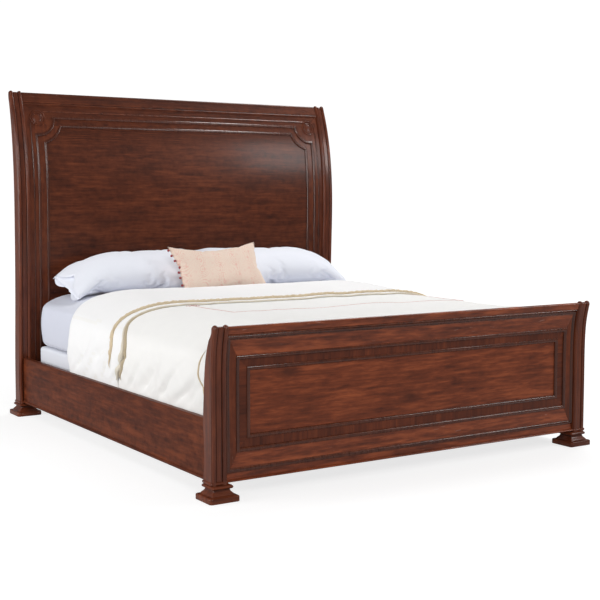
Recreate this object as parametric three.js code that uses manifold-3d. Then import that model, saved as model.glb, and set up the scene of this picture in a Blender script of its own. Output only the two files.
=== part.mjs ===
// King-size sleigh bed: a rolled headboard and footboard, side rails, slats with
// centre legs, a split foundation, a mattress, a coverlet and three pillows.
// Millimetres. +X is the width, -Y the foot end, +Y the head end, +Z up from the floor.
import * as THREE from 'three';
import Module from 'manifold-3d';
import { mergeVertices } from 'three/addons/utils/BufferGeometryUtils.js';

const wasm = await Module();
wasm.setup();

// ---------------------------------------------------------------- driving dimensions
const GAP = 0.3;                       // clearance left between touching pieces
const GLUE = 0.7;                      // clearance under a strip laid over the facets of a curve

const FEET = { halfWidth: 1035, halfLength: 1160, height: 66, width: 133.5, headDepth: 148 };
const POST = { outer: 1013, inner: 945, flatSet: 5 };   // the flat lies behind the bead crests
const BEAD = { width: 18, insetFromEdge: 11 };          // half-round beads along the post edges

// Side view of each end board as [height, y] points, and the circle that ends it on top.
// Both boards show their front to the foot end, -Y.
const HEAD = {
  front: [[66, 1038], [320, 1036], [600, 1022], [900, 1010], [1170, 1003], [1300, 1008],
    [1460, 1027], [1600, 1058], [1700, 1090], [1738, 1106]],
  back: [[66, 1112], [320, 1108], [629, 1087], [998, 1072], [1300, 1070], [1484, 1083],
    [1600, 1100], [1700, 1120], [1738, 1134]],
  roll: { y: 1120, z: 1738, radius: 14 },
  frameSet: 12,                        // panelling behind the bead crests
  step: 96,                            // height of one flat facet of the curve
};
const FOOT = {
  front: [[66, -1133], [300, -1133], [510, -1133], [597, -1138], [640, -1146], [682, -1158]],
  back: [[66, -1060], [320, -1060], [438, -1069], [510, -1074], [571, -1085], [633, -1107],
    [682, -1136]],
  roll: { y: -1147, z: 682, radius: 11 },
  frameSet: 16,
  step: 56,
};

// Panelling of the headboard: half widths and heights of each moulding's outer edge.
const HEAD_PANEL = {
  capBottom: 1692, coveHeight: 20, low: 120,
  rosette: { x: 873, z: 1612, radius: 44, depth: 11 },
  bead: { x: 921, z: 1652, width: 8, rise: 4 },
  outer: { x: 895, z: 1624, low: 350, notch: 84, width: 20, rise: 9 },
  inner: { x: 848, z: 1580, low: 400, notch: 126, width: 20, rise: 9 },
  fieldDrop: 5,
};
// Panelling of the footboard: half width, bottom and top of each rectangle's outer edge.
const FOOT_PANEL = {
  capBottom: 655, baseLow: 66, baseHigh: 80,
  border: { x: 944, low: 106, high: 646, width: 22, rise: 9 },
  outer: { x: 897, low: 184, high: 566, width: 20, rise: 8 },
  inner: { x: 846, low: 235, high: 520, width: 20, rise: 8 },
  fieldDrop: 7,
};

const RAIL = { outer: 990, thickness: 24.5, low: 70, high: 316, beadHigh: 84, beadRise: 5 };
const HOOK = { width: 16, height: 140, thickness: 3, z: 190, hookReach: 12, hookHeight: 30 };
const CLEAT = { width: 30, height: 28, top: 143 };
const SLAT = { places: [-700, 0, 700], width: 90, thickness: 20, halfLength: 952 };
const LEG = { width: 44, low: 26, boreRadius: 6, boreTop: 84 };
const GLIDE = { radius: 18, height: 9, stemRadius: 4, stemTop: 62 };

const FOUNDATION = { halfWidth: 938, split: 3, foot: -1050, head: 952, low: 163.8, high: 390 };
const MATTRESS = { halfWidth: 940, foot: -1048, head: 958, low: 391, high: 640, corner: 70 };
const COVERLET = { halfWidth: 959.5, foot: -1054, head: 417, low: 240, high: 674, thickness: 14 };
const PILLOW = { width: 890, height: 450, thickness: 160, tilt: 28, x: 452, y: 773, z: 780 };
const ACCENT = { width: 500, height: 310, thickness: 100, tilt: 58, x: -50, y: 540, z: 786 };

// ------------------------------------------------------------------------- materials
const COLOURS = {
  cherry: { color: 0x5a2a1c, roughness: 0.34 },
  burl: { color: 0x6b3420, roughness: 0.3 },
  steel: { color: 0x8d8f92, roughness: 0.35, metalness: 0.9 },
  pine: { color: 0xc9a679, roughness: 0.7 },
  sheeting: { color: 0xe9edf3, roughness: 0.9 },
  coverlet: { color: 0xf4f0e9, roughness: 0.9 },
  paisley: { color: 0xe7cfc0, roughness: 0.9 },
  nylon: { color: 0x2a2a2c, roughness: 0.5 },
};
const materials = {};
for (const [slot, look] of Object.entries(COLOURS)) {
  materials[slot] = new THREE.MeshStandardMaterial(look);
}

// --------------------------------------------------------------------- solid geometry
/** Height curve through [z, y] points, flattened into facets, so pieces share facets. */
function facetedCurve(points, step) {
  const heights = points.map((point) => point[0]);
  const places = points.map((point) => point[1]);
  const smooth = new THREE.CubicInterpolant(heights, places, 1, new Float64Array(1));
  const low = heights[0];
  const count = Math.round((heights.at(-1) - low) / step);
  const size = (heights.at(-1) - low) / count;
  const stations = Array.from({ length: count + 1 }, (_, i) => low + i * size);
  const values = stations.map((z) => smooth.evaluate(z)[0]);
  const at = (z) => {
    const i = Math.min(count - 1, Math.max(0, Math.floor((z - low) / size)));
    return values[i] + (values[i + 1] - values[i]) * (z - stations[i]) / size;
  };
  return { at, stations };
}

for (const board of [HEAD, FOOT]) {
  board.frontCurve = facetedCurve(board.front, board.step);
  board.backCurve = facetedCurve(board.back, board.step);
}

/** Facet heights of a board between two heights, with both ends. */
function stationsBetween(board, low, high) {
  const inside = board.frontCurve.stations.filter((z) => z > low + 1 && z < high - 1);
  return [low, ...inside, high];
}

/** Solid from a closed outline in (y, z), extruded along X from x0 to x1. */
function alongX(outline, x0, x1) {
  const shape = new THREE.Shape(outline.map(([y, z]) => new THREE.Vector2(y, z)));
  const geometry = new THREE.ExtrudeGeometry(shape, { depth: x1 - x0, bevelEnabled: false });
  geometry.applyMatrix4(new THREE.Matrix4().makeBasis(
    new THREE.Vector3(0, 1, 0), new THREE.Vector3(0, 0, 1), new THREE.Vector3(1, 0, 0)));
  return geometry.translate(x0, 0, 0);
}

/** Solid from a closed outline in (x, z), extruded along Y from y0 to y1. */
function alongY(outline, y0, y1) {
  const shape = new THREE.Shape(outline.map(([x, z]) => new THREE.Vector2(x, z)));
  const geometry = new THREE.ExtrudeGeometry(shape, { depth: y1 - y0, bevelEnabled: false });
  geometry.rotateX(Math.PI / 2);
  return geometry.translate(0, y1, 0);
}

/** Box between two corners. */
function block(x0, x1, y0, y1, z0, z1) {
  const geometry = new THREE.BoxGeometry(Math.abs(x1 - x0), Math.abs(y1 - y0), z1 - z0);
  return geometry.translate((x0 + x1) / 2, (y0 + y1) / 2, (z0 + z1) / 2);
}

/** Closed solid through rings of points; ends are capped unless the rings close on themselves. */
function loft(rings, closed = false) {
  const size = rings[0].length;
  const positions = rings.flat().flatMap((point) => point.toArray());
  const faces = [];
  const last = closed ? rings.length : rings.length - 1;
  for (let i = 0; i < last; i += 1) {
    const next = ((i + 1) % rings.length) * size;
    for (let k = 0; k < size; k += 1) {
      const a = i * size + k;
      const b = i * size + (k + 1) % size;
      const c = next + (k + 1) % size;
      const d = next + k;
      faces.push(a, b, c, a, c, d);
    }
  }
  if (!closed) {
    const end = (rings.length - 1) * size;
    for (let k = 1; k < size - 1; k += 1) {
      faces.push(0, k + 1, k, end, end + k, end + k + 1);
    }
  }
  const geometry = new THREE.BufferGeometry();
  geometry.setAttribute('position', new THREE.Float32BufferAttribute(positions, 3));
  geometry.setIndex(signedVolume(positions, faces) < 0 ? faces.reverse() : faces);
  return geometry;
}

/** Volume enclosed by triangles, negative when they face inwards. */
function signedVolume(positions, faces) {
  const corner = (index) => new THREE.Vector3().fromArray(positions, index * 3);
  let sum = 0;
  for (let i = 0; i < faces.length; i += 3) {
    sum += corner(faces[i]).dot(corner(faces[i + 1]).cross(corner(faces[i + 2])));
  }
  return sum;
}

function toSolid(geometry) {
  const plain = geometry.clone();
  plain.deleteAttribute('normal');
  plain.deleteAttribute('uv');
  const merged = mergeVertices(plain, 1e-3);
  return new wasm.Manifold(new wasm.Mesh({
    numProp: 3,
    vertProperties: Float32Array.from(merged.attributes.position.array),
    triVerts: Uint32Array.from(merged.index.array),
  }));
}

function fromSolid(solid) {
  const mesh = solid.getMesh();
  const geometry = new THREE.BufferGeometry();
  geometry.setAttribute('position', new THREE.BufferAttribute(mesh.vertProperties, 3));
  geometry.setIndex(new THREE.BufferAttribute(mesh.triVerts, 1));
  geometry.computeVertexNormals();
  return geometry;
}

// ---------------------------------------------------------------------------- assembly
const bed = new THREE.Group();
bed.name = 'sleigh_bed';

function add(name, geometry, slot) {
  const mesh = new THREE.Mesh(geometry, materials[slot]);
  mesh.name = name;
  bed.add(mesh);
  return mesh;
}

const SIDES = [['left', -1], ['right', 1]];

/** Spans x0 to x1 on the side that sign gives, in rising order. */
function span(sign, x0, x1) {
  return sign > 0 ? [x0, x1] : [-x1, -x0];
}

// ---------------------------------------------------------------------------- end posts
/** Side outline of a board: up the face, over the roll and down the back. */
function boardPath(board, inset, low) {
  const { roll } = board;
  const face = stationsBetween(board, low, roll.z).map((z) => [board.frontCurve.at(z) + inset, z]);
  const over = [];
  const arcSteps = 6;
  for (let i = 1; i <= arcSteps; i += 1) {
    const angle = Math.PI * (1 - i / arcSteps);
    const radius = roll.radius - inset;
    over.push([roll.y + radius * Math.cos(angle), roll.z + radius * Math.sin(angle)]);
  }
  return [...face, ...over];
}

function boardBack(board, low, high) {
  return stationsBetween(board, low, high).reverse().map((z) => [board.backCurve.at(z), z]);
}

/** Half-round bead that follows a path in (y, z) at one x. */
function beadAlong(path, x, rise) {
  const half = BEAD.width / 2;
  const depth = 2;
  const section = [[-half, -depth], [half, -depth], [half, 0], [half * 0.5, rise],
    [-half * 0.5, rise], [-half, 0]];
  const rings = path.map(([y, z], i) => {
    const before = path[Math.max(0, i - 1)];
    const after = path[Math.min(path.length - 1, i + 1)];
    const run = new THREE.Vector2(after[0] - before[0], after[1] - before[1]).normalize();
    return section.map(([across, out]) => new THREE.Vector3(
      x + across, y - run.y * out, z + run.x * out));
  });
  for (const point of rings[0]) {
    point.z = path[0][1];
  }
  return loft(rings);
}

/** Mortise in a post's face that the two hooks of a rail's hook plate drop into. */
function hookSlots(sign, faceY, towardsPost) {
  const x = sign * (RAIL.outer - RAIL.thickness / 2);
  return [-1, 1].map((end) => {
    const z = HOOK.z + end * HOOK.height / 4;
    return block(x - 2.5, x + 2.5, faceY - towardsPost, faceY + towardsPost * (HOOK.hookReach + 4),
      z - HOOK.hookHeight / 2 - 5, z + HOOK.hookHeight / 2 + 5);
  });
}

function endPost(board, sign, railFaceY, towardsPost) {
  const low = FEET.height + GAP;
  const path = boardPath(board, POST.flatSet, low);
  const outline = [...path, ...boardBack(board, low, board.roll.z - board.roll.radius)];
  let post = toSolid(alongX(outline, ...span(sign, POST.inner, POST.outer)));
  for (const x of [POST.inner + BEAD.insetFromEdge, POST.outer - BEAD.insetFromEdge]) {
    post = post.add(toSolid(beadAlong(path, sign * x, POST.flatSet)));
  }
  for (const slot of hookSlots(sign, railFaceY, towardsPost)) {
    post = post.subtract(toSolid(slot));
  }
  return fromSolid(post);
}

const headRailFace = HEAD.frontCurve.at(HOOK.z) + POST.flatSet;
const footRailFace = FOOT.backCurve.at(HOOK.z);
for (const [side, sign] of SIDES) {
  add(`headboard_post_${side}`, endPost(HEAD, sign, headRailFace, 1), 'cherry');
  add(`footboard_post_${side}`, endPost(FOOT, sign, footRailFace, -1), 'cherry');
}

// ------------------------------------------------------------------------ panel boards
/** Slab of a board between two heights, its face set back from the bead crests. */
function slab(board, low, high, set, halfWidth, backSet = 6) {
  const heights = stationsBetween(board, low, high);
  const face = heights.map((z) => [board.frontCurve.at(z) + set, z]);
  const back = heights.reverse().map((z) => [board.backCurve.at(z) - backSet, z]);
  return alongX([...face, ...back], -halfWidth, halfWidth);
}

/** Outline in (x, z) of a panel, with its top corners cut by arcs about the rosettes. */
function notchedOutline({ x, z, low, notch }, grow = 0) {
  const centre = HEAD_PANEL.rosette;
  const right = x + grow;
  const top = z + grow;
  const radius = notch - grow;
  const start = Math.atan2(-Math.sqrt(radius ** 2 - (right - centre.x) ** 2), right - centre.x);
  const end = -Math.PI - Math.atan2(
    top - centre.z, Math.sqrt(radius ** 2 - (top - centre.z) ** 2)) ;
  const arcSteps = 6;
  const arc = Array.from({ length: arcSteps + 1 }, (_, i) => {
    const angle = start + (end - start) * i / arcSteps;
    return [centre.x + radius * Math.cos(angle), centre.z + radius * Math.sin(angle)];
  });
  const half = [[right, low - grow], ...arc];
  return [...half, ...half.map(([px, pz]) => [-px, pz]).reverse()];
}

function rectangle({ x, low, high }, grow = 0) {
  return [[x + grow, low - grow], [x + grow, high + grow],
    [-x - grow, high + grow], [-x - grow, low - grow]];
}

/** Cuts a board into two stiles, a top rail, a bottom rail and the field they hold. */
function framedBoard(prefix, board, frame) {
  const { low, high, halfWidth, set, drop, opening, stileX } = frame;
  const yRange = [board.frontCurve.at(low) - 400, board.backCurve.at(low) + 400];
  const cutter = toSolid(alongY(opening, ...yRange));
  const field = toSolid(alongY(frame.fieldOutline, ...yRange));
  const whole = toSolid(slab(board, low, high, set, halfWidth));
  const ring = whole.subtract(cutter);
  const keep = (x0, x1, z0, z1) => fromSolid(
    ring.intersect(toSolid(block(x0, x1, ...yRange, z0, z1))));
  for (const [side, sign] of SIDES) {
    add(`${prefix}_stile_${side}`, keep(...span(sign, stileX + GAP, halfWidth + 1), low, high), 'cherry');
  }
  const edges = opening.map((point) => point[1]);
  const sill = Math.min(...edges);
  const shoulder = Math.min(...edges.filter((z) => z > sill + 1));
  add(`${prefix}_top_rail`, keep(-stileX, stileX, shoulder, high + 1), 'cherry');
  add(`${prefix}_bottom_rail`, keep(-stileX, stileX, low - 1, sill), 'cherry');
  const heights = frame.fieldOutline.map((point) => point[1]);
  const inner = toSolid(slab(board, Math.min(...heights) - 5, Math.max(...heights) + 5,
    set + drop, halfWidth, 14)).intersect(field);
  add(`${prefix}_panel`, fromSolid(inner), 'burl');
}

const FRAME_HALF = POST.inner - GAP;
framedBoard('headboard', HEAD, {
  low: HEAD_PANEL.low, high: HEAD_PANEL.capBottom - GAP, halfWidth: FRAME_HALF,
  set: HEAD.frameSet, drop: HEAD_PANEL.fieldDrop, stileX: HEAD_PANEL.inner.x - 10,
  opening: notchedOutline(HEAD_PANEL.inner, -10),
  fieldOutline: notchedOutline(HEAD_PANEL.inner, -10 - GAP),
});
framedBoard('footboard', FOOT, {
  low: FOOT_PANEL.baseHigh + GAP, high: FOOT_PANEL.capBottom - GAP, halfWidth: FRAME_HALF,
  set: FOOT.frameSet, drop: FOOT_PANEL.fieldDrop, stileX: FOOT_PANEL.inner.x - 10,
  opening: rectangle(FOOT_PANEL.inner, -10),
  fieldOutline: rectangle(FOOT_PANEL.inner, -10 - GAP),
});

/** Rolled cap between the posts. */
function cap(board, low, set) {
  const outline = [...boardPath(board, set, low), ...boardBack(board, low, board.roll.z - board.roll.radius)];
  return alongX(outline, -FRAME_HALF, FRAME_HALF);
}
add('headboard_cap', cap(HEAD, HEAD_PANEL.capBottom, 4), 'cherry');
add('footboard_cap', cap(FOOT, FOOT_PANEL.capBottom, 6), 'cherry');

// --------------------------------------------------------------------------- mouldings
/** Ogee strip laid on a board's face along a closed or open outline in (x, z). */
function moulding(board, set, outline, width, rise, closed = true) {
  const section = [[0, GLUE], [0, rise * 0.55], [width * 0.25, rise], [width * 0.5, rise * 0.8],
    [width, rise * 0.3], [width, GLUE]];
  const margin = Math.abs(width) + 2;
  const path = [];
  outline.forEach((point, i) => {
    path.push(point);
    const next = outline[(i + 1) % outline.length];
    if (closed || i < outline.length - 1) {
      const rising = next[1] > point[1];
      const between = board.frontCurve.stations.filter(
        (z) => z > Math.min(point[1], next[1]) + margin && z < Math.max(point[1], next[1]) - margin);
      for (const z of rising ? between : between.reverse()) {
        const t = (z - point[1]) / (next[1] - point[1]);
        path.push([point[0] + (next[0] - point[0]) * t, z]);
      }
    }
  });
  const rings = path.map((point, i) => {
    const before = path[closed ? (i + path.length - 1) % path.length : Math.max(0, i - 1)];
    const after = path[closed ? (i + 1) % path.length : Math.min(path.length - 1, i + 1)];
    const runIn = new THREE.Vector2(point[0] - before[0], point[1] - before[1]);
    const runOut = new THREE.Vector2(after[0] - point[0], after[1] - point[1]);
    if (runIn.length() === 0) runIn.copy(runOut);
    if (runOut.length() === 0) runOut.copy(runIn);
    const inwards = (run) => new THREE.Vector2(-run.y, run.x).normalize();
    const mitre = inwards(runIn).add(inwards(runOut));
    mitre.multiplyScalar(2 / mitre.lengthSq());
    return section.map(([across, out]) => {
      const x = point[0] + mitre.x * across;
      const z = point[1] + mitre.y * across;
      return new THREE.Vector3(x, board.frontCurve.at(z) + set - out, z);
    });
  });
  return loft(rings, closed);
}

const headOuter = HEAD_PANEL.outer;
const headInner = HEAD_PANEL.inner;
add('headboard_outer_moulding', moulding(
  HEAD, HEAD.frameSet, notchedOutline(headOuter), headOuter.width, headOuter.rise), 'cherry');
add('headboard_inner_moulding', moulding(
  HEAD, HEAD.frameSet, notchedOutline(headInner), headInner.width / 2 - GAP, headInner.rise), 'cherry');
for (const ring of ['border', 'outer', 'inner']) {
  const { width, rise } = FOOT_PANEL[ring];
  const reach = ring === 'inner' ? width / 2 - GAP : width;
  add(`footboard_${ring}_moulding`, moulding(
    FOOT, FOOT.frameSet, rectangle(FOOT_PANEL[ring]), reach, rise), 'cherry');
}

// A thin bead runs up each side of the headboard to a rosette, and between the rosettes.
const { bead, rosette } = HEAD_PANEL;
for (const [side, sign] of SIDES) {
  const line = [[sign * bead.x, HEAD_PANEL.low + 10], [sign * bead.x, rosette.z - 26]];
  const ordered = sign > 0 ? line : line.reverse();
  add(`headboard_side_bead_${side}`,
    moulding(HEAD, HEAD.frameSet, ordered, bead.width, bead.rise, false), 'cherry');
}
add('headboard_top_bead', moulding(
  HEAD, HEAD.frameSet, [[rosette.x - 34, bead.z], [34 - rosette.x, bead.z]],
  bead.width, bead.rise, false), 'cherry');

/** Turned rosette: an outer ring, a hollow and a domed button. */
function rosetteTurning({ radius, depth }) {
  const profile = [[0, 0], [radius, 0], [radius, depth * 0.5], [radius * 0.9, depth * 0.8],
    [radius * 0.72, depth * 0.5], [radius * 0.6, depth * 0.45], [radius * 0.5, depth * 0.9],
    [0, depth]];
  return new THREE.LatheGeometry(profile.map(([r, h]) => new THREE.Vector2(r, h)), 20);
}
const lean = Math.atan2(
  HEAD.frontCurve.at(rosette.z + rosette.radius) - HEAD.frontCurve.at(rosette.z - rosette.radius),
  2 * rosette.radius);
for (const [side, sign] of SIDES) {
  const disc = add(`headboard_rosette_${side}`, rosetteTurning(rosette), 'cherry');
  disc.rotation.x = Math.PI - lean;
  disc.position.set(sign * rosette.x, HEAD.frontCurve.at(rosette.z) + HEAD.frameSet - 1.2, rosette.z);
}

/** Cove strip under the headboard's cap, and the bead along the footboard's base. */
add('headboard_cove', moulding(
  HEAD, HEAD.frameSet,
  [[FRAME_HALF, HEAD_PANEL.capBottom - GAP - HEAD_PANEL.coveHeight],
    [-FRAME_HALF, HEAD_PANEL.capBottom - GAP - HEAD_PANEL.coveHeight]],
  -HEAD_PANEL.coveHeight, 10, false), 'cherry');

function baseBead(y, outward) {
  const { baseLow, baseHigh } = FOOT_PANEL;
  const top = baseHigh;
  const low = baseLow + 4;
  return [[y, low], [y, top], [y + outward * 40, top], [y + outward * 45, (low + top) / 2],
    [y + outward * 40, low]];
}
add('footboard_base_bead', alongX(
  baseBead(FOOT.frontCurve.at(FEET.height) + 48, -1), -FRAME_HALF, FRAME_HALF), 'cherry');

// -------------------------------------------------------------------------------- feet
/** Square foot: plinth, sloped shoulder, cove neck and a half-round bead on top. */
function foot(depth) {
  const cut = 0.07;
  const levels = [[0, -3], [3, 0], [21, 0], [24, -3], [31, -9], [38, -15], [47, -17], [53, -11],
    [55, -8], [60, -6], [64, -8], [66, -11]];
  const rings = levels.map(([z, inset]) => {
    const x = FEET.width / 2 + inset;
    const y = depth / 2 + inset;
    const cx = x * (1 - cut);
    const cy = y * (1 - cut);
    return [[x, -cy], [x, cy], [cx, y], [-cx, y], [-x, cy], [-x, -cy], [-cx, -y], [cx, -y]]
      .map(([px, py]) => new THREE.Vector3(px, py, z));
  });
  return loft(rings);
}
for (const [end, sense, depth] of [['head', 1, FEET.headDepth], ['foot', -1, FEET.width]]) {
  for (const [side, sign] of SIDES) {
    add(`${end}_${side}_foot`, foot(depth), 'cherry').position.set(
      sign * (FEET.halfWidth - FEET.width / 2), sense * (FEET.halfLength - depth / 2), 0);
  }
}

// -------------------------------------------------------------------------- side rails
const railFoot = footRailFace + GAP;
const railHead = headRailFace - 3;
const railInner = RAIL.outer - RAIL.thickness;
for (const [side, sign] of SIDES) {
  const board = block(...span(sign, railInner, RAIL.outer), railFoot, railHead, RAIL.low, RAIL.high);
  let rail = toSolid(board);
  const centre = sign * (RAIL.outer - RAIL.thickness / 2);
  for (const [end, y, sense] of [['foot', railFoot, -1], ['head', railHead, 1]]) {
    const half = HOOK.width / 2;
    const tall = HOOK.height / 2;
    const recess = block(centre - half - GAP, centre + half + GAP, y + sense, y - sense * HOOK.thickness,
      HOOK.z - tall - GAP, HOOK.z + tall + GAP);
    rail = rail.subtract(toSolid(recess));
    const face = y - sense * GAP;
    let plate = toSolid(block(centre - half, centre + half, face - sense * (HOOK.thickness - 2 * GAP),
      face, HOOK.z - tall, HOOK.z + tall));
    for (const step of [-1, 1]) {
      const z = HOOK.z + step * HOOK.height / 4;
      const reach = (end === 'head' ? headRailFace : footRailFace) + sense * HOOK.hookReach;
      plate = plate.add(toSolid(block(centre - 1.5, centre + 1.5, face - sense, reach,
        z - HOOK.hookHeight / 2, z + HOOK.hookHeight / 2)));
    }
    add(`hook_plate_${end}_${side}`, fromSolid(plate), 'steel');
  }
  add(`side_rail_${side}`, fromSolid(rail), 'cherry');
  const face = RAIL.outer + GAP;
  const bead = new THREE.Shape([[face, RAIL.low], [face + RAIL.beadRise, RAIL.low + 3],
    [face + RAIL.beadRise, RAIL.beadHigh - 3], [face, RAIL.beadHigh]]
    .map(([x, z]) => new THREE.Vector2(sign * x, z)));
  const strip = new THREE.ExtrudeGeometry(bead, { depth: railHead - railFoot, bevelEnabled: false });
  strip.rotateX(Math.PI / 2).translate(0, railHead, 0);
  add(`rail_bead_${side}`, strip, 'cherry');
  add(`cleat_${side}`, block(
    ...span(sign, railInner - GAP - CLEAT.width, railInner - GAP), railFoot + 20, railHead - 20,
    CLEAT.top - CLEAT.height, CLEAT.top), 'pine');
}

// --------------------------------------------------------------- slats, legs and glides
/** Levelling glide: a round pad on a screw stem. */
function glide() {
  const { radius, height, stemRadius, stemTop } = GLIDE;
  const profile = [[0, 0], [radius - 2, 0], [radius, 2], [radius, height - 2],
    [stemRadius + 4, height], [stemRadius, height], [stemRadius, stemTop], [0, stemTop]];
  const turned = new THREE.LatheGeometry(profile.map(([r, h]) => new THREE.Vector2(r, h)), 12);
  return turned.rotateX(Math.PI / 2);
}
const slatLow = CLEAT.top + GAP;
SLAT.places.forEach((y, i) => {
  const number = i + 1;
  add(`slat_${number}`, block(-SLAT.halfLength, SLAT.halfLength, y - SLAT.width / 2,
    y + SLAT.width / 2, slatLow, slatLow + SLAT.thickness), 'pine');
  const half = LEG.width / 2;
  const post = toSolid(block(-half, half, y - half, y + half, LEG.low, slatLow - GAP));
  const bore = new THREE.CylinderGeometry(LEG.boreRadius, LEG.boreRadius, LEG.boreTop - LEG.low + 2, 12);
  bore.rotateX(Math.PI / 2).translate(0, y, (LEG.boreTop + LEG.low - 2) / 2);
  add(`centre_leg_${number}`, fromSolid(post.subtract(toSolid(bore))), 'pine');
  add(`glide_${number}`, glide(), 'nylon').position.set(0, y, 0);
});

// -------------------------------------------------------------------------- soft pieces
/** Rounded rectangle of points, counter-clockwise, at one height. */
function roundedRing(x0, x1, y0, y1, corner, z) {
  const points = [];
  const corners = [[x1, y1, 0], [x0, y1, 1], [x0, y0, 2], [x1, y0, 3]];
  for (const [x, y, turn] of corners) {
    const cx = x === x1 ? x - corner : x + corner;
    const cy = y === y1 ? y - corner : y + corner;
    for (let i = 0; i <= 3; i += 1) {
      const angle = (turn + i / 3) * Math.PI / 2;
      points.push(new THREE.Vector3(cx + corner * Math.cos(angle), cy + corner * Math.sin(angle), z));
    }
  }
  return points;
}

/** Upholstered slab with rounded corners and eased edges. */
function softSlab(x0, x1, y0, y1, z0, z1, corner, ease) {
  const levels = [[z0, ease], [z0 + ease * 0.5, ease * 0.25], [z0 + ease * 1.5, 0],
    [z1 - ease * 1.5, 0], [z1 - ease * 0.5, ease * 0.25], [z1, ease]];
  return loft(levels.map(([z, inset]) => roundedRing(
    x0 + inset, x1 - inset, y0 + inset, y1 - inset, corner - inset, z)));
}

for (const [side, sign] of SIDES) {
  const { halfWidth, split, foot: y0, head: y1, low, high } = FOUNDATION;
  add(`foundation_${side}`, softSlab(...span(sign, split, halfWidth), y0, y1, low, high, 30, 9), 'sheeting');
}
add('mattress', softSlab(-MATTRESS.halfWidth, MATTRESS.halfWidth, MATTRESS.foot, MATTRESS.head,
  MATTRESS.low, MATTRESS.high, MATTRESS.corner, 20), 'sheeting');

/** Coverlet: a quilt over the mattress with both sides hanging down inside the rails. */
function coverlet() {
  const { halfWidth, foot: y0, head: y1, low, high, thickness } = COVERLET;
  const inner = halfWidth - thickness;
  const shoulder = 34;
  const under = MATTRESS.high + 1;
  const half = [[halfWidth, low], [halfWidth, high - shoulder], [halfWidth - shoulder * 0.3,
    high - shoulder * 0.3], [halfWidth - shoulder, high]];
  const inside = [[inner, under - 2], [inner - 6, under], [6 - inner, under], [-inner, under - 2]];
  const outline = [...half, ...half.map(([x, z]) => [-x, z]).reverse(), [-inner, low],
    ...inside.reverse(), [inner, low]];
  return alongY(outline, y0, y1);
}
add('coverlet', coverlet(), 'coverlet');

/** Pillow lying on its back: a rounded rectangle, thick in the middle and thin at the seam. */
function pillowForm(width, height, thickness) {
  const levels = [[-0.5, 0.55], [-0.38, 0.78], [-0.16, 0.95], [0, 1], [0.16, 0.95], [0.38, 0.78],
    [0.5, 0.55]];
  return loft(levels.map(([rise, scale]) => {
    const x = width / 2 * (1 - (1 - scale) * height / width);
    const y = height / 2 * scale;
    return roundedRing(-x, x, -y, y, Math.min(70, y * 0.5), rise * thickness);
  }));
}
for (const [side, sign] of SIDES) {
  const pillow = add(`pillow_${side}`, pillowForm(PILLOW.width, PILLOW.height, PILLOW.thickness), 'sheeting');
  pillow.rotation.x = THREE.MathUtils.degToRad(PILLOW.tilt);
  pillow.position.set(sign * PILLOW.x, PILLOW.y, PILLOW.z);
}
const accent = add('accent_pillow', pillowForm(ACCENT.width, ACCENT.height, ACCENT.thickness), 'paisley');
accent.rotation.x = THREE.MathUtils.degToRad(ACCENT.tilt);
accent.position.set(ACCENT.x, ACCENT.y, ACCENT.z);

export default bed;
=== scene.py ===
"""Sleigh bed: its visible woodwork, bedding and studio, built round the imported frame.

Metres. +X is the width, -Y the foot end, +Y the head end, +Z up from the floor.
"""

import math

import bmesh
import bpy
from bpy.props import FloatProperty, FloatVectorProperty, PointerProperty
from mathutils import Matrix, Vector, noise
from mathutils.bvhtree import BVHTree


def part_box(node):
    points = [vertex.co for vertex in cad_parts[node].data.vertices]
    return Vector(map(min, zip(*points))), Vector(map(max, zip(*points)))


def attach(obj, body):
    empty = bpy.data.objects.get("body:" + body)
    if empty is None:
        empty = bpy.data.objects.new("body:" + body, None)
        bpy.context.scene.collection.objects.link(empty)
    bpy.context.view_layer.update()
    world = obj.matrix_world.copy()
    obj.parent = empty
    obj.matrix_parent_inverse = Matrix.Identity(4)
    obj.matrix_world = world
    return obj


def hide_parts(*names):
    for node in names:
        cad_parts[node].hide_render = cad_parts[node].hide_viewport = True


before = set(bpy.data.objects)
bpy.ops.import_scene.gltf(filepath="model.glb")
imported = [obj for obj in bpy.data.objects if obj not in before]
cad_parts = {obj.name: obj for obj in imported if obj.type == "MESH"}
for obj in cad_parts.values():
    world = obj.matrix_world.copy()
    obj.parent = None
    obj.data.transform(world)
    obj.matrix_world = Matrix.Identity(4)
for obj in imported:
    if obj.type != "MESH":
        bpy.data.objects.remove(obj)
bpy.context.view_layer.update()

bl_info = {
    "name": "Sleigh Bed",
    "version": (1, 0, 0),
    "blender": (4, 5, 0),
    "location": "View3D > Sidebar > Bed",
    "description": "Builds a king-size sleigh bed with its bedding around a packed frame",
    "category": "Add Mesh",
}

SIDES = (("left", -1), ("right", 1))


# ------------------------------------------------------------------------ settings
def length(name, description, default):
    return FloatProperty(
        name=name, description=description, default=default, min=0.0, subtype="DISTANCE", unit="LENGTH"
    )


def colour(name, description, default):
    return FloatVectorProperty(
        name=name, description=description, default=default, size=3, min=0.0, max=1.0, subtype="COLOR"
    )


def factor(name, description, default, top=1.0):
    return FloatProperty(name=name, description=description, default=default, min=0.0, max=top)


def power(name, description, default):
    return FloatProperty(name=name, description=description, default=default, unit="POWER")


class SLEIGHBED_PG_wood(bpy.types.PropertyGroup):
    """Stain and finish of the cherry"""

    dark: colour("Dark stain", "Colour of the dark grain", (0.026, 0.0062, 0.0032))
    mid: colour("Stain", "Main colour of the stained wood", (0.072, 0.0160, 0.0062))
    light: colour("Light figure", "Colour of the bright figure", (0.150, 0.037, 0.013))
    roughness: factor("Roughness", "Roughness of the satin lacquer", 0.36)
    coat: factor("Coat", "Strength of the clear lacquer coat", 0.18)
    # The lighter edges are partly rubbed wear and partly painted highlight along the bead crests
    rub_and_highlight: factor("Rubbed edges", "How far the edges are rubbed back", 0.22)


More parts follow.
